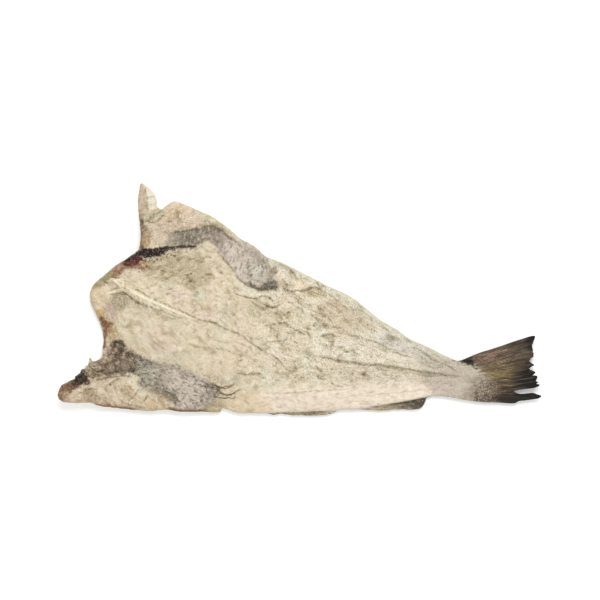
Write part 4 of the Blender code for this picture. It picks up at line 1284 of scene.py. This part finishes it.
def upper_face(x, y, inset, faces):
    """Height and colours of the flesh side, and where it is lining, fin, broken or speckled."""
    skin, solid, swell = edge_profile(x, y, inset)
    flesh, stain_and_shade, pale = flesh_texture(x, y)
    masks, flecks = lining_masks(x, y)
    lining = np.maximum(*masks)
    deep, lips, dark = crease_texture(x, y)
    fin = fin_mask(x, y)
    bare = 1.0 - fin
    anal = anal_fin(x, y)
    body = bare * smooth_step(2.0, 9.0, solid)
    broad = (surface_lines(x, y) + undulation(x, y)) * smooth_step(0.0, 12.0, inset)
    fine = flesh * (1.0 - lining) + lining_texture(x, y) * lining
    for plate in BACKBONE_PLATES:
        fine = fine + PLATE_HEIGHT * patch_mask(plate, x, y, 0.8, 0.6, 331)
    base = skin + solid * (EDGE_HIGH + (1.0 - EDGE_HIGH) * swell) + broad * body
    calm = (0.3 + 0.7 * smooth_step(0.0, 3.5, inset)) * (1.0 - 0.6 * anal)
    height = base + ((fine + lips) * calm - deep) * bare
    height = height + fin * FIN_RAY_HEIGHT * ray_wave(x, y) * smooth_step(0.0, 1.2, inset)
    height = np.maximum(height, skin + LEAST_SHARE * solid)

    detail = height - base
    hollow = neighbour_mean(detail, faces, 10) - detail
    stain_and_shading_reach = bare * smooth_step(0.3, 2.5, inset)
    cream = backbone_cream(x, y)
    # stains and dark dashes of the flesh, with painted shade in its folds, pits and low places
    colours = shade(upper_colour(x, y), stain_and_shade * stain_and_shading_reach * (1.0 - cream))
    # pale dabs of the flesh, with painted highlight on its raised places and on the raised lips beside the
    # creases
    colours = lighten(colours, np.clip(pale + lips, 0, 1) * stain_and_shading_reach)
    colours = blend(colours, SCAR_CREAM, 0.95 * cream)
    colours = lining_colour(colours, x, y, masks, flecks)
    # painted shade in the hollows of the fine relief, and painted highlight on its crests
    colours = shade(colours, 0.50 * smooth_step(0.03, 0.45, hollow) * stain_and_shading_reach)
    colours = lighten(colours, 0.42 * smooth_step(0.03, 0.40, -hollow) * stain_and_shading_reach)
    colours = marks(colours, x, y, inset, dark, bare)
    colours, fin = fin_colour(colours, x, y)
    colours, speckled = speckled_skin(colours, x, y)
    colours = anal_colour(colours, x, y)
    off = grain_frame(x, y)[2]
    loose = brokenness(x, y, off) * (1.0 - lining) * (1.0 - fin) * smooth_step(0.0, 2.0, inset)
    return height, colours, lining, fin, loose, speckled


def lower_face(x, y, inset):
    """Height of the skin side, with its wrinkles and its rounded edge."""
    skin, solid, swell = edge_profile(x, y, inset)
    relief = np.minimum(skin_relief(x, y, inset), 0.25 * solid)
    return skin + solid * EDGE_LOW * (1.0 - swell) + relief


def rim_wall(outline, top_height, under_height, top_colours, under_colours):
    """Rows of vertices down the cut edge between the two faces, with its layers of flesh and skin."""
    outward = normals(outline)
    arc = np.concatenate([[0.0], np.cumsum(np.hypot(*np.diff(outline, axis=0).T))])
    tall = top_height - under_height
    beside = range(-5, 6)
    evened = sum(np.roll(top_colours, k, axis=0) for k in beside) / len(beside)
    evened = evened + (np.array(TAN) - evened) * 0.35
    points, colours = [], []
    for row in range(1, WALL_ROWS):
        share = row / WALL_ROWS
        height = top_height - tall * share
        layers = noise(arc / 9.0, height + 0.25 * noise(arc, height, 8.0, 311), 1.5, 312)
        torn = noise(arc, height, 4.5, 314) + 0.6 * noise(arc, 2.0 * height, 2.6, 315)
        bulge = tall * (EDGE_BULGE * np.sin(np.pi * share) + EDGE_LAYERS * layers)
        bulge = bulge + 0.5 * torn * smooth_step(2, 8, tall)
        points.append(np.column_stack([outline + outward * bulge[:, None], height]))
        flesh = blend(top_colours, evened, smooth_step(3, 8, tall) * (0.5 + 0.5 * share))
        # painted shade where the layers and tears of the cut edge sink back, painted highlight where the
        # layers stand out
        flesh = shade(flesh, 0.55 * smooth_step(0.0, 0.5, -layers) + 0.25 * smooth_step(0.0, 0.6, -torn))
        flesh = lighten(flesh, 0.5 * smooth_step(0.0, 0.5, layers))
        skin_line = smooth_step(0.55, 0.85, share + 0.25 * noise(arc, height, 7.0, 313))
        colours.append(blend(flesh, under_colours * EDGE_SKIN_SHADE, skin_line))
    return np.vstack(points), np.vstack(colours)


def grain_vectors(x, y, fin):
    """Places in metres along and across the fibres of the flesh, or the rays of the fin."""
    u, v = grain_frame(x, y)[:2]
    angle, reach = fan(x, y)
    along = u * (1.0 - fin) + reach * fin
    across = v * (1.0 - fin) + angle * FAN_ARC * fin
    return np.column_stack([along, across, np.zeros(len(x))]) * MM


def filled_faces(outline):
    """Points and triangles of the upper face, and those of the skin side."""
    rows = spaced_rows(outline)
    grid = hex_grid(outline, TOP_STEP, 7)
    grid = clear_of_edge(outline, grid[grid[:, 0] <= FIN_START], EDGE_ROWS[-1] + 0.8)
    fan_grid = fan_points()
    fan_grid = clear_of_edge(outline, fan_grid[fan_grid[:, 0] > FIN_START + 0.9], EDGE_ROWS[2] + 0.5)
    rows = rows[(rows[:, 0] < FIN_START) | (gaps_to(outline, rows) < EDGE_ROWS[2] + 0.2)]
    coarse = clear_of_edge(outline, hex_grid(outline, UNDER_STEP, 8), EDGE_ROWS[-1] + 2.0)
    coarse = coarse[dorsal_fins(*coarse.T)[0] < 0.02]
    fine = hex_grid(outline, FOLDED_FIN_STEP, 9)
    fine = fine[dorsal_fins(*fine.T)[0] >= 0.02]
    return fill(outline, np.vstack([rows, grid, fan_grid])) + fill(outline, np.vstack([rows, coarse, fine]))


def wall_faces(outline, starts):
    """Triangles between the rows of vertices down the edge, from the first vertex of each row."""
    ring = np.arange(len(outline))
    following = np.roll(ring, -1)
    walls = []
    for upper, lower in zip(starts[:-1], starts[1:]):
        walls.append(np.column_stack([upper + ring, upper + following, lower + following]))
        walls.append(np.column_stack([upper + ring, lower + following, lower + ring]))
    walls = np.vstack(walls)
    return walls if signed_area(outline) < 0 else walls[:, ::-1]


def centred(points):
    """The points, moved to the middle of the part's box and down to its lowest level."""
    box_low, box_high = (np.array(corner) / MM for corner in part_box(NODE))
    low, high = points.min(axis=0), points.max(axis=0)
    middle = (box_low + box_high) / 2 - (low + high) / 2
    return points + (middle[0], middle[1], box_low[2] - low[2])


def build_fish():
    """The whole fish: flesh side, skin side and the edge between them, as one closed mesh."""
    outline = fish_outline()
    rim = len(outline)
    top, top_faces, under, under_faces = filled_faces(outline)
    x, y = top.T
    inset = np.concatenate([np.zeros(rim), gaps_to(outline, top[rim:])])
    height, colours, lining, fin, loose, speckled = upper_face(x, y, inset, top_faces)
    ux, uy = under.T
    under_inset = np.concatenate([np.zeros(rim), gaps_to(outline, under[rim:])])
    under_height = lower_face(ux, uy, under_inset)
    under_colours, under_fin = fin_colour(skin_colour(ux, uy, under_inset), ux, uy)
    rim_points, rim_colours = rim_wall(top[:rim], height[:rim], under_height[:rim], colours[:rim],
                                       under_colours[:rim])
    points = np.vstack([np.column_stack([x, y, height]), np.column_stack([ux, uy, under_height]), rim_points])
    count, total = len(top), len(top) + len(under)
    starts = [0] + [total + row * rim for row in range(WALL_ROWS - 1)] + [count]
    faces = np.vstack([oriented(top, top_faces, 1), oriented(under, under_faces, -1) + count,
                       wall_faces(outline, starts)])
    grain = grain_vectors(x, y, fin)
    down_the_edge = np.column_stack([np.zeros((len(rim_points), 2)), rim_points[:, 2] * MM])
    folded_fins = 0.45 * dorsal_fins(ux, uy)[0]
    values = {
        "fin": np.concatenate([fin, np.maximum(under_fin, folded_fins), np.tile(fin[:rim], WALL_ROWS - 1)]),
        "skin": np.concatenate([np.zeros(count), np.ones(len(under)), np.zeros(len(rim_points))]),
        "grain": np.vstack([grain, grain_vectors(ux, uy, under_fin),
                            np.tile(grain[:rim], (WALL_ROWS - 1, 1)) + down_the_edge]),
    }
    for key, array in (("broken", loose), ("speckled", speckled), ("lining", lining)):
        values[key] = np.concatenate([array, np.zeros(len(points) - count)])
    return mesh_object("dried_cod", centred(points), faces,
                       np.vstack([colours, under_colours, rim_colours]), values)


def signed_area(outline):
    """Area inside the outline, negative for a clockwise one."""
    following = np.roll(outline, -1, axis=0)
    return 0.5 * np.sum(outline[:, 0] * following[:, 1] - following[:, 0] * outline[:, 1])


def oriented(points, faces, up):
    """The triangles, turned to face up (1) or down (-1)."""
    a, b, c = (points[faces[:, k]] for k in range(3))
    area = (b[:, 0] - a[:, 0]) * (c[:, 1] - a[:, 1]) - (b[:, 1] - a[:, 1]) * (c[:, 0] - a[:, 0])
    return np.where((area * up > 0)[:, None], faces, faces[:, ::-1])


# ---- materials ----
# Grain laid over the painted colours: which noise, where it starts and is full, strength and colour.
FLESH_GRAIN = [("fibre", 0.52, 0.72, 0.32, (154, 138, 106)),
               ("fine", 0.54, 0.70, 0.34, (246, 238, 220)),
               ("coarse", 0.50, 0.30, 0.20, (160, 144, 112))]
LINING_GRAIN = [("speckle", 0.50, 0.62, 0.30, (62, 54, 48)),
                ("speckle", 0.47, 0.36, 0.26, (230, 224, 212))]
FIN_GRAIN = [("streak", 0.50, 0.64, 0.60, (34, 29, 25)),
             ("streak", 0.47, 0.36, 0.34, (168, 150, 124)),
             ("joints", 0.54, 0.64, 0.38, (44, 38, 32)),
             ("joints", 0.43, 0.34, 0.26, (176, 160, 134))]
SKIN_GRAIN = [("mottle", 0.50, 0.66, 0.40, (78, 68, 46)),
              ("mottle", 0.45, 0.32, 0.30, (206, 196, 164)),
              ("scales", 0.35, 0.75, 0.12, (224, 216, 194))]
PIT_BROWN_AND_SHADE = (112, 96, 66)
SALT_CREAM = (252, 246, 232)
SPECK_PALE = (212, 202, 184)
SALT_TONES = ((250, 248, 240), (226, 220, 204))
FLOOR_TONES = ((0.96, 0.96, 0.96, 1.0), (0.98, 0.98, 0.98, 1.0))
SCALES_PER_METRE = 620.0
FLOOR_GLOW = 0.18          # light that the floor gives off itself


class Nodes:
    """Short names for building a node tree."""

    def __init__(self, name):
        self.material = bpy.data.materials.new(name)
        self.material.use_nodes = True
        self.tree = self.material.node_tree
        self.shader = self.tree.nodes["Principled BSDF"]

    def place(self):
        """Places on the object, in metres."""
        return self.tree.nodes.new("ShaderNodeTexCoord").outputs["Object"]

    def put(self, target, value):
        """Link the value to the target, or set it as a constant."""
        if isinstance(value, bpy.types.NodeSocket):
            self.tree.links.new(value, target)
        else:
            target.default_value = value

    def attribute(self, name, output="Fac"):
        """A value that the mesh keeps for each of its vertices."""
        node = self.tree.nodes.new("ShaderNodeAttribute")
        node.attribute_name = name
        return node.outputs[output]

    def noise(self, vector, size, detail=2.0, roughness=0.5):
        """Noise with features of the given size in metres."""
        node = self.tree.nodes.new("ShaderNodeTexNoise")
        node.inputs["Scale"].default_value = 1.0 / size
        node.inputs["Detail"].default_value = detail
        node.inputs["Roughness"].default_value = roughness
        self.put(node.inputs["Vector"], vector)
        return node.outputs["Fac"]

    def ramp(self, value, low, high):
        """0 at low, 1 at high and smooth between."""
        node = self.tree.nodes.new("ShaderNodeMapRange")
        node.interpolation_type = "SMOOTHSTEP"
        self.put(node.inputs["Value"], value)
        node.inputs["From Min"].default_value = low
        node.inputs["From Max"].default_value = high
        return node.outputs["Result"]

    def math(self, operation, a, b):
        node = self.tree.nodes.new("ShaderNodeMath")
        node.operation = operation
        self.put(node.inputs[0], a)
        self.put(node.inputs[1], b)
        return node.outputs[0]

    def mix(self, amount, a, b):
        """Colour a, covered by colour b by an amount from 0 to 1."""
        node = self.tree.nodes.new("ShaderNodeMix")
        node.data_type = "RGBA"
        self.put(node.inputs["Factor"], amount)
        self.put(node.inputs["A"], a)
        self.put(node.inputs["B"], b)
        return node.outputs["Result"]

    def tinted(self, base, value, low, high, strength, colour):
        """The base colour, with another laid over it as the value goes from low to high."""
        amount = self.math("MULTIPLY", self.ramp(value, low, high), strength)
        return self.mix(amount, base, colour_of(colour))

    def grained(self, base, rows, noises):
        """The base colour, tinted by each row of a table of grain."""
        for name, low, high, strength, colour in rows:
            base = self.tinted(base, noises[name], low, high, strength, colour)
        return base

    def surface(self, colour, roughness, shine):
        """Give the material its colour, roughness and strength of gloss."""
        self.put(self.shader.inputs["Base Color"], colour)
        self.put(self.shader.inputs["Roughness"], roughness)
        self.put(self.shader.inputs["Specular IOR Level"], shine)

    def stretch(self, vector, scale):
        node = self.tree.nodes.new("ShaderNodeMapping")
        self.put(node.inputs["Vector"], vector)
        node.inputs["Scale"].default_value = scale
        return node.outputs["Vector"]

    def bump(self, height, distance, under=None):
        """Normals of a surface with this relief, over another relief if one is given."""
        node = self.tree.nodes.new("ShaderNodeBump")
        node.inputs["Distance"].default_value = distance
        self.put(node.inputs["Height"], height)
        if under is not None:
            self.put(node.inputs["Normal"], under)
        return node.outputs["Normal"]


def colour_of(colour):
    """A colour from 0 to 255, as a shader takes it."""
    return tuple(linear(colour)) + (1.0,)


def cod_material():
    """Dried flesh, lining, fin and skin, each with its own grain over the painted colours."""
    n = Nodes("dried_cod")
    place = n.place()
    grain = n.attribute("grain", "Vector")
    lining = n.attribute("lining")
    fin = n.attribute("fin")
    broken = n.attribute("broken")
    tint = n.attribute("tint", "Color")
    lightness = n.tree.nodes.new("ShaderNodeRGBToBW")
    n.put(lightness.inputs["Color"], tint)
    keep = n.ramp(lightness.outputs["Val"], 0.01, 0.13)
    keep_pale = n.ramp(lightness.outputs["Val"], 0.02, 0.32)

    fibre = n.noise(n.stretch(grain, (0.2, 1.0, 1.0)), 0.0011, 3.0, 0.6)
    fine = n.noise(place, 0.0009, 2.0, 0.6)
    coarse = n.noise(place, 0.0028, 3.0, 0.55)
    grit = n.noise(place, 0.0019, 2.0, 0.6)
    flesh = n.grained(tint, FLESH_GRAIN, {"fibre": fibre, "fine": fine, "coarse": coarse})
    # brown of the pits, with painted shade in them
    flesh = n.tinted(flesh, grit, 0.56, 0.68, n.math("MULTIPLY", broken, 0.62), PIT_BROWN_AND_SHADE)
    flesh = n.tinted(flesh, grit, 0.43, 0.33, n.math("MULTIPLY", broken, 0.50), SALT_CREAM)
    flesh = n.mix(keep_pale, tint, flesh)

    speckle = n.noise(place, 0.0013, 3.0, 0.65)
    lined = n.grained(tint, LINING_GRAIN, {"speckle": speckle})
    colour = n.mix(lining, flesh, n.mix(keep, tint, lined))

    streak = n.noise(n.stretch(grain, (0.1, 1.0, 1.0)), 0.0011, 3.0, 0.65)
    joints = n.noise(n.stretch(grain, (1.0, 0.4, 1.0)), 0.0017, 2.0, 0.5)
    finned = n.grained(tint, FIN_GRAIN, {"streak": streak, "joints": joints})
    colour = n.mix(fin, colour, n.mix(keep, tint, finned))
    dots = n.noise(place, 0.0014, 1.0, 0.5)
    speckled = n.math("MULTIPLY", n.attribute("speckled"), 0.90)
    colour = n.tinted(colour, dots, 0.56, 0.66, speckled, SPECK_PALE)

    scales = n.tree.nodes.new("ShaderNodeTexVoronoi")
    scales.inputs["Scale"].default_value = SCALES_PER_METRE
    n.put(scales.inputs["Vector"], n.stretch(place, (0.7, 1.0, 1.0)))
    mottle = n.noise(place, 0.011, 5.0, 0.68)
    skinned = n.grained(tint, SKIN_GRAIN, {"mottle": mottle, "scales": scales.outputs["Distance"]})
    skin = n.math("MULTIPLY", n.attribute("skin"), n.math("SUBTRACT", 1.0, fin))
    colour = n.mix(skin, colour, n.mix(keep, tint, skinned))

    rough = n.math("MULTIPLY_ADD", n.ramp(coarse, 0.35, 0.7), 0.16)
    rough.node.inputs[2].default_value = 0.60
    rough = n.math("SUBTRACT", rough, n.math("MULTIPLY", n.math("MAXIMUM", lining, fin), 0.12))
    n.surface(colour, rough, 0.16)
    pits = n.bump(n.math("MULTIPLY", grit, broken), -0.0009)
    threads = n.bump(fibre, 0.00032, pits)
    n.put(n.shader.inputs["Normal"], n.bump(fine, 0.00024, threads))
    return n.material


def salt_material():
    n = Nodes("salt_crystal")
    cloud = n.noise(n.place(), 0.0006, 2.0)
    n.surface(n.mix(n.ramp(cloud, 0.35, 0.7), *map(colour_of, SALT_TONES)), 0.32, 0.5)
    return n.material


def floor_material():
    n = Nodes("studio_floor")
    cloud = n.noise(n.place(), 0.4, 2.0)
    n.surface(n.mix(n.ramp(cloud, 0.2, 0.8), *FLOOR_TONES), 0.9, 0.1)
    n.shader.inputs["Emission Color"].default_value = (1.0, 1.0, 1.0, 1.0)
    n.shader.inputs["Emission Strength"].default_value = FLOOR_GLOW
    return n.material


# ---- salt ----
SALT_COUNT = 900
SALT_END = 262             # beyond it the tail fin is bare of salt
SALT_SIZES = (0.25, 0.65)
SALT_LIFT = 0.12           # how far the middle of a crystal lies above the flesh
LEVEL_ENOUGH = 0.75        # least upward part of the normal where a crystal can lie
CUBE = np.array([(x, y, z) for x in (-0.5, 0.5) for y in (-0.5, 0.5) for z in (-0.5, 0.5)])
CUBE_FACES = np.array([(0, 1, 3, 2), (4, 6, 7, 5), (0, 4, 5, 1), (2, 3, 7, 6), (0, 2, 6, 4), (1, 5, 7, 3)])


def build_salt(fish):
    """Salt crystals: small uneven cubes, scattered in clusters over what faces up."""
    rng = np.random.default_rng(17)
    count = len(fish.data.vertices)
    points = np.empty(count * 3)
    fish.data.vertices.foreach_get("co", points)
    facing = np.empty(count * 3)
    fish.data.vertices.foreach_get("normal", facing)
    points, facing = points.reshape(-1, 3) / MM, facing.reshape(-1, 3)
    x, y = points[:, 0], points[:, 1]
    clusters = 0.15 + smooth_step(0.1, 0.7, layered(x, y, 22.0, 201, 2))
    chance = (facing[:, 2] > LEVEL_ENOUGH) * (x < SALT_END) * clusters
    chosen = rng.choice(count, SALT_COUNT, replace=False, p=chance / chance.sum())
    verts, faces = [], []
    for index in chosen:
        size = rng.uniform(*SALT_SIZES) * rng.uniform(0.7, 1.25, 3)
        q = rng.normal(size=4)
        w, i, j, k = q / np.linalg.norm(q)
        turn = np.array([[1 - 2 * (j * j + k * k), 2 * (i * j - k * w), 2 * (i * k + j * w)],
                         [2 * (i * j + k * w), 1 - 2 * (i * i + k * k), 2 * (j * k - i * w)],
                         [2 * (i * k - j * w), 2 * (j * k + i * w), 1 - 2 * (i * i + j * j)]])
        faces.append(CUBE_FACES + 8 * len(verts))
        verts.append((CUBE * size) @ turn.T + points[index] + facing[index] * SALT_LIFT)
    salt = mesh_object("salt_crystals", np.vstack(verts), np.vstack(faces))
    salt.data.shade_flat()
    salt.data.materials.append(salt_material())
    return salt


# ---- torn lining ----
# Curls of torn lining: half width, how high they stand off the flesh, colour and course.
CURLS_OF_LINING = [
    (0.90, 0.9, (122, 108, 82), [(-130, -120), (-122, -123), (-113, -127), (-107, -124), (-100, -125),
                                 (-95, -121)]),
    (0.90, 0.9, (116, 102, 76), [(-126, -129), (-118, -130), (-112, -135), (-104, -137), (-97, -135),
                                 (-92, -130)]),
    (0.65, 0.7, (120, 106, 82), [(-124, -140), (-115, -141), (-107, -142), (-100, -140)]),
    (0.70, 0.8, (128, 114, 92), [(-121, -124), (-116, -130), (-117, -137), (-123, -140)]),
    (0.55, 1.0, (82, 70, 54), [(-134, -124), (-135, -131), (-131, -137)]),
    (0.50, 0.8, (96, 84, 66), [(-146, -126), (-138, -124), (-130, -126), (-124, -131)]),
    (0.9, 1.6, (196, 190, 160), [(-304, -86), (-303, -93), (-298, -98), (-292, -97)]),
    (0.7, 1.6, (176, 170, 140), [(-308, -98), (-300, -101), (-293, -106), (-286, -105)]),
]
# Tangles of fine shreds: centre, spread, how many, their length, and the colours they range between.
TANGLES = [((-304, -100), (9, 7), 26, 9, (196, 190, 162), (92, 82, 64)),
           ((-317, -109), (8, 4), 16, 7, (112, 88, 66), (34, 28, 24)),
           ((-288, -92), (8, 8), 14, 7, (176, 160, 136), (84, 70, 56)),
           ((-118, -130), (9, 10), 14, 8, (150, 136, 108), (74, 62, 46)),
           ((-236, 60), (12, 4), 16, 8, (104, 44, 34), (26, 18, 16))]
STRAND_SIDES = 5
STRAND_STEP = 0.8          # between the rings of a strand
STRAND_FLATNESS = 0.55     # thickness of a strand, as a share of its width
FARTHEST_GROUND = 2.5      # a strand that strays farther than this from the flesh is left out


def tangle_strands():
    """Short bent shreds around the middles of the tangles."""
    rng = np.random.default_rng(23)
    strands = []
    for centre, spread, count, length, pale, dark in TANGLES:
        for _ in range(count):
            start = np.array(centre) + rng.normal(size=2) * spread * np.array(0.55)
            angle, bend = rng.uniform(0, 2 * np.pi), rng.uniform(-0.9, 0.9)
            reach = length * rng.uniform(0.5, 1.2) / 3
            points = [start]
            for _ in range(3):
                points.append(points[-1] + reach * np.array([np.cos(angle), np.sin(angle)]))
                angle += bend
            share = rng.uniform()
            colour = [share * a + (1.0 - share) * b for a, b in zip(pale, dark)]
            strands.append((rng.uniform(0.22, 0.5), rng.uniform(0.3, 1.4), colour, points))
    return strands


def strand_rings(k, half_width, rise, line, ground):
    """Places around a strand, ring by ring, and how light each one is; k turns and bends it."""
    ring = 2 * np.pi * np.arange(STRAND_SIDES) / STRAND_SIDES
    share = np.linspace(0.0, 1.0, len(line))
    row = np.full(len(line), 1.7 * k)
    lift = rise * np.sin(np.pi * share) ** 0.7 + 0.4 * noise(share * 5.0, row, 1.0, 321)
    run = np.gradient(line, axis=0)
    across = np.column_stack([-run[:, 1], run[:, 0]]) / np.hypot(run[:, 0], run[:, 1])[:, None]
    radius = half_width * (0.25 + 0.75 * np.sin(np.pi * np.clip(share * 0.9 + 0.08, 0, 1)))
    radius = radius * (1.0 + 0.5 * noise(share * 9.0, row, 1.0, 322))
    twist = (2.2 * share + 0.9 * k)[:, None]
    wide = radius[:, None] * np.cos(ring)
    thin = STRAND_FLATNESS * radius[:, None] * np.sin(ring)
    sideways = wide * np.cos(twist) - thin * np.sin(twist)
    up = (ground + np.maximum(lift, 0.0))[:, None] + wide * np.sin(twist) + thin * np.cos(twist)
    place = line[:, None, :] + across[:, None, :] * sideways[:, :, None]
    tone = 1.0 + 0.22 * np.sin(9.0 * share[:, None] + np.arange(STRAND_SIDES))
    return np.concatenate([place, up[:, :, None]], axis=2).reshape(-1, 3), tone.reshape(-1, 1)


def tube_faces(start, rings):
    """Triangles between the rings of a strand and over its two ends; start is its first vertex."""
    faces = []
    side = np.arange(STRAND_SIDES)
    beside = (side + 1) % STRAND_SIDES
    for low in start + STRAND_SIDES * np.arange(rings - 1):
        high = low + STRAND_SIDES
        faces.append(np.column_stack([low + side, low + beside, high + beside]))
        faces.append(np.column_stack([low + side, high + beside, high + side]))
    last = start + STRAND_SIDES * (rings - 1)
    for i in range(1, STRAND_SIDES - 1):
        faces.append(np.array([(start, start + i + 1, start + i), (last, last + i, last + i + 1)]))
    return faces


def build_strands(fish):
    """Torn lining: curled strands, tapered and slightly flattened, that lie on the flesh."""
    surface = [vertex.co / MM for vertex in fish.data.vertices if vertex.normal.z > 0.2]
    tree = KDTree(len(surface))
    for i, place in enumerate(surface):
        tree.insert((place.x, place.y, 0.0), i)
    tree.balance()
    verts, faces, colours = [], [], []
    for k, (half_width, rise, colour, points) in enumerate(CURLS_OF_LINING + tangle_strands()):
        line = spline(points, STRAND_STEP)
        found = [tree.find((px, py, 0.0)) for px, py in line]
        if max(gap for place, i, gap in found) > FARTHEST_GROUND:
            continue
        ground = np.array([surface[i].z for place, i, gap in found])
        ground = np.convolve(np.pad(ground, 2, mode="edge"), np.full(5, 0.2), mode="valid")
        rings, tone = strand_rings(k, half_width, rise, line, ground)
        faces += tube_faces(sum(len(block) for block in verts), len(line))
        verts.append(rings)
        colours.append(np.clip(tone * np.array(colour), 0, 255))
    verts = np.vstack(verts)
    values = {key: np.zeros(len(verts)) for key in ("broken", "speckled", "lining", "fin", "skin")}
    values["grain"] = verts * MM
    strands = mesh_object("torn_lining", verts, np.vstack(faces), np.vstack(colours), values)
    strands.data.materials.append(fish.data.materials[0])
    return strands


# ---- studio ----
PICTURE_WIDTH = 0.8660     # what the square picture spans, at the height of the fish
FISH_HEIGHT = 0.02
CAMERA_HEIGHT = 3.2
SENSOR = 36.0
FLOOR_SIZE = 12.0
SKY_COLOUR = (1.0, 0.995, 0.985, 1.0)
SKY_STRENGTH = 0.58
# Place, diameter and power of the lamps, which point at the middle of the floor.
LAMPS = [("key_light", (0.3, 1.45, 2.3), 1.5, 46.0), ("fill_light", (-0.6, -1.8, 2.0), 2.4, 16.0)]


def build_studio():
    """Pale floor, soft light from above and a camera that looks straight down."""
    bpy.ops.mesh.primitive_plane_add(size=FLOOR_SIZE, location=(0, 0, 0))
    floor = bpy.context.object
    floor.name = "studio_floor"
    floor.data.materials.append(floor_material())

    world = bpy.data.worlds.new("studio_light")
    bpy.context.scene.world = world
    world.use_nodes = True
    sky = world.node_tree.nodes["Background"]
    sky.inputs["Color"].default_value = SKY_COLOUR
    sky.inputs["Strength"].default_value = SKY_STRENGTH

    for name, place, size, power in LAMPS:
        light = bpy.data.lights.new(name, "AREA")
        light.shape = "DISK"
        light.size = size
        light.energy = power
        lamp = bpy.data.objects.new(name, light)
        lamp.location = place
        lamp.rotation_euler = (-lamp.location).to_track_quat("-Z", "Y").to_euler()
        bpy.context.scene.collection.objects.link(lamp)

    camera_data = bpy.data.cameras.new("camera")
    camera_data.sensor_width = SENSOR
    camera_data.lens = SENSOR * (CAMERA_HEIGHT - FISH_HEIGHT) / PICTURE_WIDTH
    camera_data.clip_end = 20.0
    camera = bpy.data.objects.new("camera", camera_data)
    camera.location = (0.0, 0.0, CAMERA_HEIGHT)
    bpy.context.scene.collection.objects.link(camera)
    bpy.context.scene.camera = camera
    bpy.context.scene.view_settings.view_transform = "Standard"


fish = build_fish()
fish.data.materials.append(cod_material())
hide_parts(NODE)
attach(fish, "root")

salt = build_salt(fish)
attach(salt, "root")

strands = build_strands(fish)
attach(strands, "root")

build_studio()
